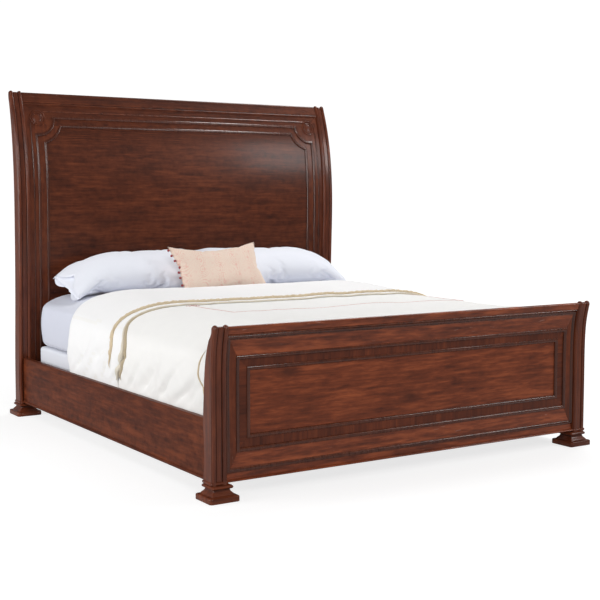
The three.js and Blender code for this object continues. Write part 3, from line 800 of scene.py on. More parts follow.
class SLEIGHBED_OT_headboard(bpy.types.Operator):
    """Build the headboard panelling, mouldings, rosettes and cap"""

    bl_idname = "sleighbed.headboard"
    bl_label = "Headboard"

    def execute(self, context):
        look = context.scene.sleighbed_joinery
        board = head_board()
        level = framed_levels(look.head_set, look.level_drop)
        centre = rosette_centre()
        along = wood("Cherry Rail", "x", figure=0.5, flecks=0.2)
        up = wood("Cherry Stile", "z", tone_and_light=1.35, figure=0.45)
        radius = centre[0] - 0.7890
        outer = node_outline("headboard_outer_moulding", radius, centre)
        inner = node_outline("headboard_inner_moulding", radius + 0.042, centre)
        framing(board, "head", level, outer, up, along)
        sides, ends = ring_field(board, outer.inset(UNDERLAP), inner.inset(UNDERLAP), level[1],
                                 look.level_drop, 0.0, mitred=False)
        make_piece("head_band_sides", *joined(*sides), up, "cherry")
        make_piece("head_band_ends", *joined(*ends), along, "cherry")
        make_piece("head_panel", *plain_board(board, "headboard_panel", level[2], look.ease, 0.022),
                   wood("Cherry Head Panel", "x", tone_and_light=1.06, figure=0.75, knots=0.12, shift=1.9), "burl",
                   replaces=["headboard_panel"])
        section = bead_section(0.0165, 0.0060, look.level_drop)
        # The mouldings' stronger rubbing paints highlight lines along the bead crests, as well as wear
        trim = wood("Cherry Moulding", "z", tone_and_light=0.85, figure=0.12, gloss=1.0, rub_and_highlight=1.6)
        for outline, back, name in ((outer, level[0], "outer"), (inner, level[1], "inner")):
            make_piece(f"head_{name}_moulding",
                       *strip(board, outline.points(0.012), section, back), trim, "cherry",
                       replaces=[f"headboard_{name}_moulding"], angle=50)
        thin = half_round(0.008, 0.0034)
        for side, _ in SIDES:
            rosette(board, f"headboard_rosette_{side}", f"rosette_{side}", level[0], up)
            straight_bead(board, f"headboard_side_bead_{side}", f"head_side_bead_{side}", thin, level[0],
                          trim, vertical=True)
        straight_bead(board, "headboard_top_bead", "head_top_bead", thin, level[0], trim)
        cove_low, cove_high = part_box("headboard_cove")
        width = cove_high.z - cove_low.z
        cove = [(0.006, -0.005), (0.006, 0.0), (0.0085, 0.0012),
                *arc_section(0.0085, 0.0012, 0.0058, 0.0062, 8), (width, 0.0012), (width, -0.005)]
        straight_bead(board, "headboard_cove", "head_cove", cove, level[0], along)
        top_cap(board, "headboard_cap", "head_cap", -0.0002, along)
        return {"FINISHED"}


class SLEIGHBED_OT_footboard(bpy.types.Operator):
    """Build the footboard panelling, mouldings and cap"""

    bl_idname = "sleighbed.footboard"
    bl_label = "Footboard"

    def execute(self, context):
        look = context.scene.sleighbed_joinery
        board = foot_board()
        level = framed_levels(look.foot_set, look.level_drop)
        along = wood("Cherry Foot Rail", "x", tone_and_light=2.6, figure=0.9, flecks=1.0, shift=0.8, gloss=0.25)
        up = wood("Cherry Foot Stile", "z", tone_and_light=1.6, figure=0.5, flecks=0.3, shift=0.4)
        outer, inner = node_outline("footboard_outer_moulding"), node_outline("footboard_inner_moulding")
        framing(board, "foot", level, outer, up, along)
        sides, ends = ring_field(board, outer.inset(UNDERLAP), inner.inset(UNDERLAP), level[1],
                                 look.level_drop, 0.0)
        for part, fields, run in (("sides", sides, "z"), ("ends", ends, "x")):
            make_piece(f"foot_crossband_{part}", *joined(*fields),
                       crossband(f"Cherry Crossband {part.title()}", run), "cherry")
        make_piece("foot_panel", *plain_board(board, "footboard_panel", level[2], look.ease, 0.022),
                   wood("Cherry Foot Panel", "x", tone_and_light=2.5, figure=0.8, knots=0.9, shift=3.1), "burl",
                   replaces=["footboard_panel"])
        section = bead_section(0.0165, 0.0060, look.level_drop)
        # The mouldings' stronger rubbing paints highlight lines along the bead crests, as well as wear
        trim = wood("Cherry Moulding", "z", tone_and_light=0.85, figure=0.12, gloss=1.0, rub_and_highlight=1.6)
        for outline, back, name in ((outer, level[0], "outer"), (inner, level[1], "inner")):
            make_piece(f"foot_{name}_moulding", *strip(board, outline.points(0.012), section, back), trim,
                       "cherry", replaces=[f"footboard_{name}_moulding"], angle=50)
        border = node_outline("footboard_border_moulding")
        profile = [(0.0, -0.005), (0.0, 0.0030), (0.0012, 0.0036),
                   *arc_section(0.0012, 0.0036, 0.0055, 0.0030, 6), (0.0135, 0.0018), (0.0165, 0.0009),
                   (0.0185, 0.0006), (0.0190, -0.005)]
        make_piece("foot_border_moulding", *strip(board, border.points(0.012), profile, level[0]), trim,
                   "cherry", replaces=["footboard_border_moulding"], angle=50)
        base_low, base_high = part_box("footboard_base_bead")
        straight_bead(board, "footboard_base_bead", "foot_base_bead",
                      half_round(base_high.z - base_low.z, look.foot_set + 0.002, root=0.03), level[0], along)
        top_cap(board, "footboard_cap", "foot_cap", -0.0010, along)
        lowest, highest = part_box("footboard_cap")
        bead = strip(board, [(lowest.x, lowest.z - 0.0102), (highest.x, lowest.z - 0.0102)],
                     half_round(0.0102, look.foot_set - 0.0005), level[0], closed=False)
        make_piece("foot_cap_bead", *bead, trim, "cherry", angle=50)
        return {"FINISHED"}


def rounded_square(centre, half_x, half_y, radius, z, arc=6):
    """Ring of points round a square with round corners."""
    ring = []
    for quarter, (sx, sy) in enumerate(((1, 1), (-1, 1), (-1, -1), (1, -1))):
        for i in range(arc + 1):
            angle = math.pi / 2 * (quarter + i / arc)
            ring.append(Vector((centre.x + sx * (half_x - radius) + radius * math.cos(angle),
                                centre.y + sy * (half_y - radius) + radius * math.sin(angle), z)))
    return ring


class SLEIGHBED_OT_feet(bpy.types.Operator):
    """Build the moulded feet and the bead round the base of each post"""

    bl_idname = "sleighbed.feet"
    bl_label = "Feet"

    # Height share, distance in from the plinth's face, and corner radius
    PROFILE = [
        (0.0, 0.004, 0.010), (0.015, 0.0008, 0.012), (0.05, 0.0, 0.013), (0.29, 0.0, 0.013),
        (0.33, 0.0010, 0.012),
        (0.355, 0.0034, 0.010), (0.368, 0.0080, 0.008), (0.378, 0.0125, 0.006), (0.39, 0.0150, 0.005),
        (0.43, 0.0175, 0.004), (0.46, 0.0182, 0.004), (0.50, 0.0205, 0.004), (0.56, 0.0245, 0.004),
        (0.62, 0.0278, 0.004), (0.70, 0.0297, 0.004), (0.755, 0.0298, 0.004), (0.765, 0.0240, 0.005),
        (0.80, 0.0205, 0.006), (0.86, 0.0188, 0.007), (0.92, 0.0205, 0.006), (0.965, 0.0240, 0.005),
        (1.0, 0.0290, 0.004),
    ]

    def execute(self, context):
        material = wood("Cherry Foot", "x", tone_and_light=1.6, figure=0.55, flecks=0.4, shift=2.2, gloss=0.3)
        for end in ("head", "foot"):
            for side, _ in SIDES:
                node = f"{end}_{side}_foot"
                lowest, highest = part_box(node)
                centre, half = (lowest + highest) / 2, (highest - lowest) / 2
                rings = [rounded_square(centre, half.x - inset, half.y - inset, radius, highest.z * share)
                         for share, inset, radius in self.PROFILE]
                make_piece(f"foot_block_{end}_{side}", *loft(rings), material, "cherry", replaces=[node])
                self.base_bead(f"{end}board_post_{side}", f"post_base_{end}_{side}", material)
        return {"FINISHED"}

    @staticmethod
    def base_bead(post, name, material):
        board = head_board() if post.startswith("head") else foot_board()
        lowest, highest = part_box(post)
        front, rear = board.front(lowest.z + 0.01), board.back(lowest.z + 0.01)
        centre = Vector(((lowest.x + highest.x) / 2, (front + rear) / 2, 0))
        half_x, half_y = (highest.x - lowest.x) / 2, (rear - front) / 2
        rings = []
        for i in range(9):
            angle = math.pi * i / 8
            out = -0.002 + 0.0085 * math.sin(angle)
            z = lowest.z + 0.0075 - 0.0072 * math.cos(angle)
            rings.append(rounded_square(centre, half_x + out * 0.55, half_y + out, 0.003, z, arc=3))
        make_piece(name, *loft(rings), material, "cherry")


class SLEIGHBED_OT_rails(bpy.types.Operator):
    """Build the side rails with their base beads, the cleats and the slats"""

    bl_idname = "sleighbed.rails"
    bl_label = "Rails and slats"

    def execute(self, context):
        material = wood("Cherry Side Rail", "y", tone_and_light=1.15, figure=0.7, flecks=0.12, shift=0.9, gloss=-0.3)
        for side, way in SIDES:
            node = f"side_rail_{side}"
            lowest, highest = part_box(node)
            inner, outer = (highest.x, lowest.x) if way < 0 else (lowest.x, highest.x)
            top = [(outer - way * (0.006 - 0.006 * math.cos(a)), highest.z - 0.006 + 0.006 * math.sin(a))
                   for a in (math.pi / 2 * i / 6 for i in range(7))]
            section = [(outer, lowest.z), *top, (inner + way * 0.0015, highest.z),
                       (inner, highest.z - 0.0015), (inner, lowest.z)]
            ends = steps(lowest.y, highest.y, 0.12)
            make_piece(f"rail_{side}", *loft([[Vector((x, y, z)) for x, z in section] for y in ends]),
                       material, "cherry", replaces=[node])
            node = f"rail_bead_{side}"
            lowest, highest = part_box(node)
            height = highest.z - lowest.z
            bead = [(outer, lowest.z + height * (1 - math.cos(math.pi * i / 10)) / 2,
                     0.0055 * math.sin(math.pi * i / 10) ** 0.8) for i in range(11)]
            ring = [(x + way * out, z) for x, z, out in bead]
            make_piece(f"rail_base_{side}", *loft([[Vector((x, y, z)) for x, z in ring] for y in ends]),
                       material, "cherry", replaces=[node])
        pine = pine_wood("Pine", "x")
        for i in (1, 2, 3):
            eased_board(f"slat_board_{i}", f"slat_{i}", pine, 0.0025)
            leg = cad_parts[f"centre_leg_{i}"]
            dress(leg, pine_wood("Pine Upright", "z"))
            dress(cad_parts[f"glide_{i}"], plain_finish("Nylon", (0.020, 0.020, 0.022), 0.5))
        for side, _ in SIDES:
            eased_board(f"cleat_board_{side}", f"cleat_{side}", pine_wood("Pine Lengthways", "y"), 0.0025)
            for end in ("head", "foot"):
                dress(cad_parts[f"hook_plate_{end}_{side}"],
                      plain_finish("Plated Steel", (0.55, 0.56, 0.57), 0.34, metal=1.0))
        return {"FINISHED"}


def dress(node, material):
    node.data.materials.clear()
    node.data.materials.append(material)


def eased_board(name, node, material, ease):
    """Sawn board with eased edges in a node's box."""
    lowest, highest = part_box(node)
    mesh = bmesh.new()
    bmesh.ops.create_cube(mesh, size=1.0)
    for vertex in mesh.verts:
        vertex.co = Vector((lowest[i] + (highest[i] - lowest[i]) * (vertex.co[i] + 0.5) for i in range(3)))
    bmesh.ops.bevel(mesh, geom=mesh.edges[:], offset=ease, segments=3, profile=0.5, affect="EDGES")
    vertices = [v.co.copy() for v in mesh.verts]
    mesh.verts.ensure_lookup_table()
    faces = [tuple(v.index for v in face.verts) for face in mesh.faces]
    mesh.free()
    return make_piece(name, vertices, faces, material, "pine", replaces=[node])


def pine_wood(name, grain):
    """Unstained pine with its grain along one axis."""
    known = bpy.data.materials.get(name)
    if known:
        return known
    material, g, shader = new_material(name)
    place = g.node("TexCoord").outputs["Object"]
    turned = g.node("Mapping", {"Vector": place, "Rotation": GRAIN_TURN[grain]}).outputs[0]
    grained = group_node(g, "Wood Grain", {
        "Vector": turned, "Dark": rgba((0.36, 0.20, 0.085)), "Mid": rgba((0.56, 0.37, 0.19)),
        "Light": rgba((0.70, 0.51, 0.30)), "Figure": 0.35, "Knots": 0.5})
    g.put(shader.inputs["Base Color"], grained["Color"])
    g.put(shader.inputs["Roughness"], g.math("ADD", grained["Roughness"], 0.55))
    relief(g, shader, grained["Height"], 0.2)
    return material


VENEER_LENGTH = 0.112                              # of each length of the crossbanding


def crossband(name, run):
    """Veneer laid across a band in short lengths, each a slightly different tone."""
    known = bpy.data.materials.get(name)
    if known:
        return known
    look = bpy.context.scene.sleighbed_wood
    material, g, shader = new_material(name)
    place = g.node("TexCoord").outputs["Object"]
    turn = {"x": (0, math.pi / 2, 0), "z": (0, 0, 0)}[run]
    turned = g.node("Mapping", {"Vector": place, "Rotation": turn, "Location": (0.6, 0.2, 1.7)}).outputs[0]
    axes = g.node("SeparateXYZ", {"Vector": place}).outputs
    along = axes["X" if run == "x" else "Z"]
    place_along = g.math("DIVIDE", along, VENEER_LENGTH)
    piece = g.math("FLOOR", place_along)
    edge = g.math("ABSOLUTE", g.math("SUBTRACT", g.math("FRACT", place_along), 0.5))
    seam = g.ramp(edge, 0.491, 0.497)
    tone = g.node("TexWhiteNoise", {"W": piece}, noise_dimensions="1D").outputs["Value"]
    # The factor 1.8 lightens the stain like the footboard's other parts: painted light as well as tone
    tint = [rgba(c * 1.8 for c in colour_) for colour_ in (look.dark, look.mid, look.light)]
    grained = group_node(g, "Wood Grain", {"Vector": turned, "Dark": tint[0], "Mid": tint[1],
                                           "Light": tint[2], "Figure": 0.45, "Knots": 0.0})
    toned = g.mix(g.math("MULTIPLY", tone, 0.42), grained["Color"], tint[0])
    toned = g.mix(g.math("MULTIPLY", seam, 0.75), toned, rgba(c * 0.3 for c in look.dark))
    lacquer(g, shader, toned, grained)
    return material


# ---------------------------------------------------------------------------- bedding
BED_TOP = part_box("mattress")[1]


def bed_height(x, y):
    """Height of the mattress top: crowned across, and fuller at the pillow end."""
    full = BED_TOP.z + 0.005 + 0.019 * smoothstep(-0.15, 0.33, y)
    return full - 0.042 * (1 - smoothstep(0.0, 0.22, BED_TOP.x - abs(x))) ** 1.3


def block_form(low, high, corner, edge, bulge, crown, puckers, spacing=0.022, lift=None):
    """Rings of a padded block: round corners in plan, round edges, bulging sides, crowned faces."""
    centre, half = (low + high) / 2, (high - low) / 2
    turns = 9
    levels = []                                    # height, distance in from the side
    for share in (0.10, 0.3, 0.6, 1.0):
        levels.append((low.z + 0.0005 + 0.003 * (1 - share), half.x * (1 - share) * 0.9 + edge))
    for i in range(1, turns + 1):
        angle = math.pi / 2 * i / turns
        levels.append((low.z + edge * (1 - math.cos(angle)), edge * (1 - math.sin(angle))))
    for z in steps(low.z + edge, high.z - crown - edge, 0.016)[1:]:
        levels.append((z, 0.0))
    rim = high.z - crown
    for i in range(1, turns + 1):
        angle = math.pi / 2 * i / turns
        levels.append((rim - edge * (1 - math.sin(angle)), edge * (1 - math.cos(angle))))
    for i in range(1, 31):
        share = (i / 31) ** 1.3
        flat = min(1.0, share / 0.42)
        levels.append((high.z - crown * (1 - flat) ** 2, edge + (half.x - edge) * share * 0.985))
    rings = []
    for z, inset in levels:
        rise = (z - low.z) / (high.z - low.z)
        out = bulge * math.sin(math.pi * min(1.0, max(0.0, rise))) ** 0.7 if inset < edge * 1.01 else 0.0
        radius = max(0.004, corner - inset) if inset < corner else 0.004
        half_x, half_y = max(0.01, half.x - inset + out), max(0.01, half.y - inset + out)
        ring = dense_ring(centre, half_x, half_y, min(radius, half_x * 0.98), z, spacing, half)
        if lift:
            share = smoothstep(high.z - 0.12, high.z, z)
            for point in ring:
                point.z += share * (lift(point.x, point.y) - high.z)
        rings.append([puckers(point, half, centre) for point in ring])
    return rings


def dense_ring(centre, half_x, half_y, radius, z, spacing, full):
    """Round-cornered ring with the same number of points at every level."""
    across, along, arc = round(2 * full.x / spacing), round(2 * full.y / spacing), 7
    ring = []
    runs = ((1, -1, along), (1, 1, across), (-1, 1, along), (-1, -1, across))
    for quarter, (sx, sy, count) in enumerate(runs):
        corner = Vector((centre.x + sx * (half_x - radius), centre.y + sy * (half_y - radius), z))
        begin = math.pi / 2 * (quarter - 1)
        for i in range(arc):
            angle = begin + math.pi / 2 * i / arc
            ring.append(corner + Vector((radius * math.cos(angle), radius * math.sin(angle), 0)))
        nx, ny = runs[(quarter + 1) % 4][:2]
        there = Vector((centre.x + nx * (half_x - radius), centre.y + ny * (half_y - radius), z))
        angle = begin + math.pi / 2
        rim = Vector((radius * math.cos(angle), radius * math.sin(angle), 0))
        for i in range(count):
            ring.append(corner + rim + (there - corner) * (i / count))
    return ring


def soft_noise(point, scale, seed):
    return noise.noise(Vector((point.x * scale, point.y * scale, point.z * scale + seed * 7.31)))


def level_way(point, centre):
    """Level direction from the centre to a point."""
    out = point - centre
    out.z = 0
    return out.normalized()


def sheet_puckers(point, half, centre):
    """Small creases of a fitted sheet, strongest at the corners and low on the sides."""
    dx = abs(point.x - centre.x) / half.x
    dy = abs(point.y - centre.y) / half.y
    near = smoothstep(0.80, 1.0, dx) * smoothstep(0.80, 1.0, dy)
    side = smoothstep(0.93, 1.0, max(dx, dy))
    pull = noise.noise(Vector(((point.x + point.y) * 34, (point.x - point.y) * 3, point.z * 5)))
    soft = soft_noise(point, 5.0, 1) * 0.0030 + soft_noise(point, 13.0, 2) * 0.0012
    moved = point + level_way(point, centre) * side * (pull * (0.0012 + 0.0035 * near) + soft)
    return moved + Vector((0, 0, (1 - side) * soft * (1.0 if point.z > centre.z else 0.0)))


def cover_puckers(point, half, centre):
    """Slight slackness of a stapled cover."""
    return point + level_way(point, centre) * (soft_noise(point, 6.0, 5) * 0.0016)


class SLEIGHBED_OT_mattress(bpy.types.Operator):
    """Build the split foundation, and the mattress in its fitted sheet"""

    bl_idname = "sleighbed.mattress"
    bl_label = "Foundation and mattress"

    def execute(self, context):
        look = context.scene.sleighbed_bedding
        cover = fabric("Foundation Cover", tuple(c * 0.92 for c in look.sheet), threads=700, depth=0.16)
        for side, _ in SIDES:
            lowest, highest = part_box(f"foundation_{side}")
            rings = block_form(lowest, highest, 0.045, 0.016, 0.0, 0.004, cover_puckers, 0.03)
            base = make_piece(f"foundation_cover_{side}", *loft(rings), cover, "sheeting", body="foundation",
                              replaces=[f"foundation_{side}"], angle=60)
        lowest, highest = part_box("mattress")
        slack = Vector((0.007, 0.004, 0))
        rings = block_form(lowest + slack, highest - slack, 0.105, 0.034, 0.012, 0.0, sheet_puckers,
                           lift=bed_height)
        sheet = fabric("Fitted Sheet", tuple(look.fitted), threads=1100, depth=0.12)
        bed = make_piece("mattress_in_sheet", *loft(rings), sheet, "sheeting", body="mattress",
                         replaces=["mattress"], angle=70)
        return {"FINISHED"}


# ------------------------------------------------------------------- coverlet
HALF_COLUMNS = 92                                  # mesh columns from the middle of the coverlet to one side


def tucked(z):
    """How far the cloth has gone down beside the rail, from 0 to 1."""
    return 1 - smoothstep(0.30, 0.36, z)


class CoverletForm:
    """Where the coverlet lies: its outline across the bed, and how it runs along it."""

    SHOULDER_X, SHOULDER_Z = 0.590, 0.150

    def __init__(self):
        self.low, self.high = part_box("coverlet")
        self.half = self.high.x
        self.top = self.high.z - 0.008
        self.hem = self.low.z
        self.foot = self.low.y
        self.fold = self.high.y + 0.006
        table, total = [(0.0, 0.0, self.top)], 0.0
        points = [(x, self.top) for x in steps(0.0, self.SHOULDER_X, 0.02)]
        for i in range(1, 41):
            t = math.sin(math.pi / 2 * i / 40)
            drop = self.SHOULDER_Z * (1 - max(0.0, 1 - t ** 2.4) ** (1 / 2.4))
            points.append((self.SHOULDER_X + (self.half - self.SHOULDER_X) * t, self.top - drop))
        points += [(self.half, z) for z in reversed(steps(self.hem, self.top - self.SHOULDER_Z, 0.01)[:-1])]
        for (x0, z0), (x1, z1) in zip(points, points[1:]):
            total += math.hypot(x1 - x0, z1 - z0)
            table.append((total, x1, z1))
        self.table, self.reach = table, total

    def across(self, s):
        """Point and outward normal of the cross-section at an arc length from the middle."""
        side, s = (1 if s >= 0 else -1), min(abs(s), self.reach - 1e-6)
        i = max(0, min(len(self.table) - 2, self.index(s)))
        s0, x0, z0 = self.table[i]
        s1, x1, z1 = self.table[i + 1]
        t = (s - s0) / (s1 - s0)
        before, after = self.table[max(0, i - 1)], self.table[min(len(self.table) - 1, i + 2)]
        dx, dz = after[1] - before[1], after[2] - before[2]
        norm = math.hypot(dx, dz)
        return side * (x0 + (x1 - x0) * t), z0 + (z1 - z0) * t, side * -dz / norm, dx / norm

    def index(self, s):
        low, high = 0, len(self.table) - 1
        while high - low > 1:
            middle = (low + high) // 2
            low, high = (middle, high) if self.table[middle][0] <= s else (low, middle)
        return low

    def relief(self, s, y):
        """How far the cloth stands off its plain form."""
        z = self.across(s)[1]
        side = smoothstep(self.top - 0.02, self.top - self.SHOULDER_Z, z)
        tuck = tucked(z)
        puff = 0.0065 * noise.noise(Vector((s * 2.6, y * 2.2, 3.0)))
        puff += 0.0035 * noise.noise(Vector((s * 6.5, y * 5.0, 9.0)))
        low = (1 - smoothstep(0.36, 0.56, z)) * side
        folds = 0.0105 * noise.noise(Vector((y * 13 + z * 15, z * 3.0, 17.0)))
        folds += 0.0060 * noise.noise(Vector((y * 27 - z * 24, z * 5.0, 23.0)))
        pinch = abs(noise.noise(Vector((y * 6.0 + z * 7.5, y * 1.2 - z * 2.0, 41.0))))
        folds -= 0.019 * max(0.0, 1 - 7.0 * pinch)
        billow = 0.0085 * side * math.sin(math.pi * smoothstep(0.32, 0.60, z))
        crease = 0.0016 * noise.noise(Vector((s * 15, y * 15, 31.0)))
        held = puff * (1 - 0.5 * side) + crease + folds * low + billow
        return held * (1 - tuck) - 0.0055 * tuck

    def at(self, s, y, lift, drop=0.0):
        x, z, nx, nz = self.across(s)
        out = lift + self.relief(s, y)
        tuck = tucked(z)
        out = out * (1 - 0.5 * tuck)
        top = smoothstep(0.36, self.top - 0.05, z)
        rise = 0.026 * smoothstep(-0.15, 0.33, y) * smoothstep(0.45, self.top, z)
        return Vector((x + nx * out, y, z + nz * out - drop * top + rise))


def edge_line(form, s, top, shoulder, low):
    """Run of an edge across the bed: its place on top, on the shoulder and low on the side."""
    _, z, _, _ = form.across(s)
    down = smoothstep(form.top - 0.010, form.top - 0.15, z)
    lower = smoothstep(form.top - 0.15, 0.33, z)
    wave = 0.006 * noise.noise(Vector((s * 3.1, 4.0, 1.0))) + 0.003 * noise.noise(Vector((s * 11, 8.0, 2.0)))
    return top + (shoulder - top) * down + (low - shoulder) * lower + wave


def coverlet_rows(form):
    """Rows along the bed as (place, lift, drop); the place is a function of the arc length."""
    rows = []
    for back, drop in ((0.0, 0.15), (0.001, 0.11), (0.002, 0.07), (0.004, 0.040), (0.009, 0.020),
                       (0.018, 0.009), (0.031, 0.003), (0.046, 0.0)):
        rows.append((lambda s, b=back: form.foot + b, 0.0, drop))
    start = form.foot + 0.064
    count = 92
    for i in range(count):
        share = i / count
        rows.append((lambda s, t=share: start + (fold_line(form, s) - 0.010 - start) * t, 0.0, 0.0))
    for i in range(9):
        angle = math.pi * i / 8
        rows.append((lambda s, a=angle: fold_line(form, s) - 0.010 + 0.010 * math.sin(a),
                     0.0080 * (1 - math.cos(angle)), 0.0))
    count = 30
    for i in range(1, count + 1):
        share = i / count
        rows.append((lambda s, t=share: fold_line(form, s) - 0.010
                     + (hem_line(form, s) - fold_line(form, s) + 0.010) * t,
                     0.0094 + 0.0066 * (1 - smoothstep(0.0, 0.35, share)), 0.0))
    return rows


def fold_line(form, s):
    return edge_line(form, s, form.fold, form.fold - 0.030, form.fold + 0.004)


def hem_line(form, s):
    return edge_line(form, s, form.fold - 0.540, form.fold - 0.660, form.fold - 0.575)


def cord_line(form, s):
    return edge_line(form, s, form.fold - 0.500, form.fold - 0.535, form.fold - 0.495)


def thick_sheet(grid, thickness):
    """Closed sheet made from a grid of points, half the thickness on each side."""
    rows, columns = len(grid), len(grid[0])
    normals = []
    for i in range(rows):
        line = []
        for j in range(columns):
            along = grid[min(rows - 1, i + 1)][j] - grid[max(0, i - 1)][j]
            over = grid[i][min(columns - 1, j + 1)] - grid[i][max(0, j - 1)]
            line.append(along.cross(over).normalized())
        normals.append(line)
    vertices = []
    for side in (1, -1):
        for i in range(rows):
            for j in range(columns):
                rim = min(i, rows - 1 - i, j, columns - 1 - j)
                body = thickness / 2 * (0.45 if rim == 0 else 0.86 if rim == 1 else 1.0)
                vertices.append(grid[i][j] + normals[i][j] * side * body)
    under = rows * columns
    faces = []
    for i in range(rows - 1):
        for j in range(columns - 1):
            a = i * columns + j
            b, c, d = a + 1, a + columns + 1, a + columns
            faces += [(a, b, c, d), (under + d, under + c, under + b, under + a)]
    rim = [*range(columns), *(i * columns + columns - 1 for i in range(1, rows)),
           *(rows * columns - 1 - j for j in range(1, columns)),
           *(i * columns for i in range(rows - 2, 0, -1))]
    for k, a in enumerate(rim):
        b = rim[(k + 1) % len(rim)]
        faces.append((b, a, under + a, under + b))
    return vertices, faces


def tube(points, normals, radius, count=10):
    """Closed tube along a run of points; radius is a function of the place and the angle."""
    rings = []
    for i, point in enumerate(points):
        along = (points[min(len(points) - 1, i + 1)] - points[max(0, i - 1)]).normalized()
        side = along.cross(normals[i]).normalized()
        up = side.cross(along)
        rings.append([point + side * (math.cos(a) * radius(i, a)) + up * (math.sin(a) * radius(i, a))
                      for a in (2 * math.pi * k / count for k in range(count))])
    return loft(rings)


def laid_cord(form, arcs, line, lift, size, taper, gather, twist=0.0, seed=0.0, sides=12):
    """Gathered cord on the coverlet; line, lift and size are functions of the arc length."""
    points, normals = [], []
    for s in arcs:
        _, _, nx, nz = form.across(s)
        points.append(form.at(s, line(s), lift(s)))
        normals.append(Vector((nx, 0, nz)))
    amount, rate, grain = gather

    def radius(i, angle):
        end = min(1.0, (min(i, len(points) - 1 - i) + 0.4) / taper)
        turn = twist * math.cos(3 * angle - i * 0.95)
        spot = Vector((i * rate, math.cos(angle) * grain, math.sin(angle) * grain + seed))
        return size(arcs[i]) * end * (1 + turn + amount * noise.noise(spot))

    return tube(points, normals, radius, sides)


def trim_piece(name, shape, material):
    return make_piece(name, *shape, material, "coverlet", body="mattress", angle=60)


def cord_cloth(look):
    return fabric("Cord", tuple(look.cord), threads=500, depth=0.4, slub=0.9)


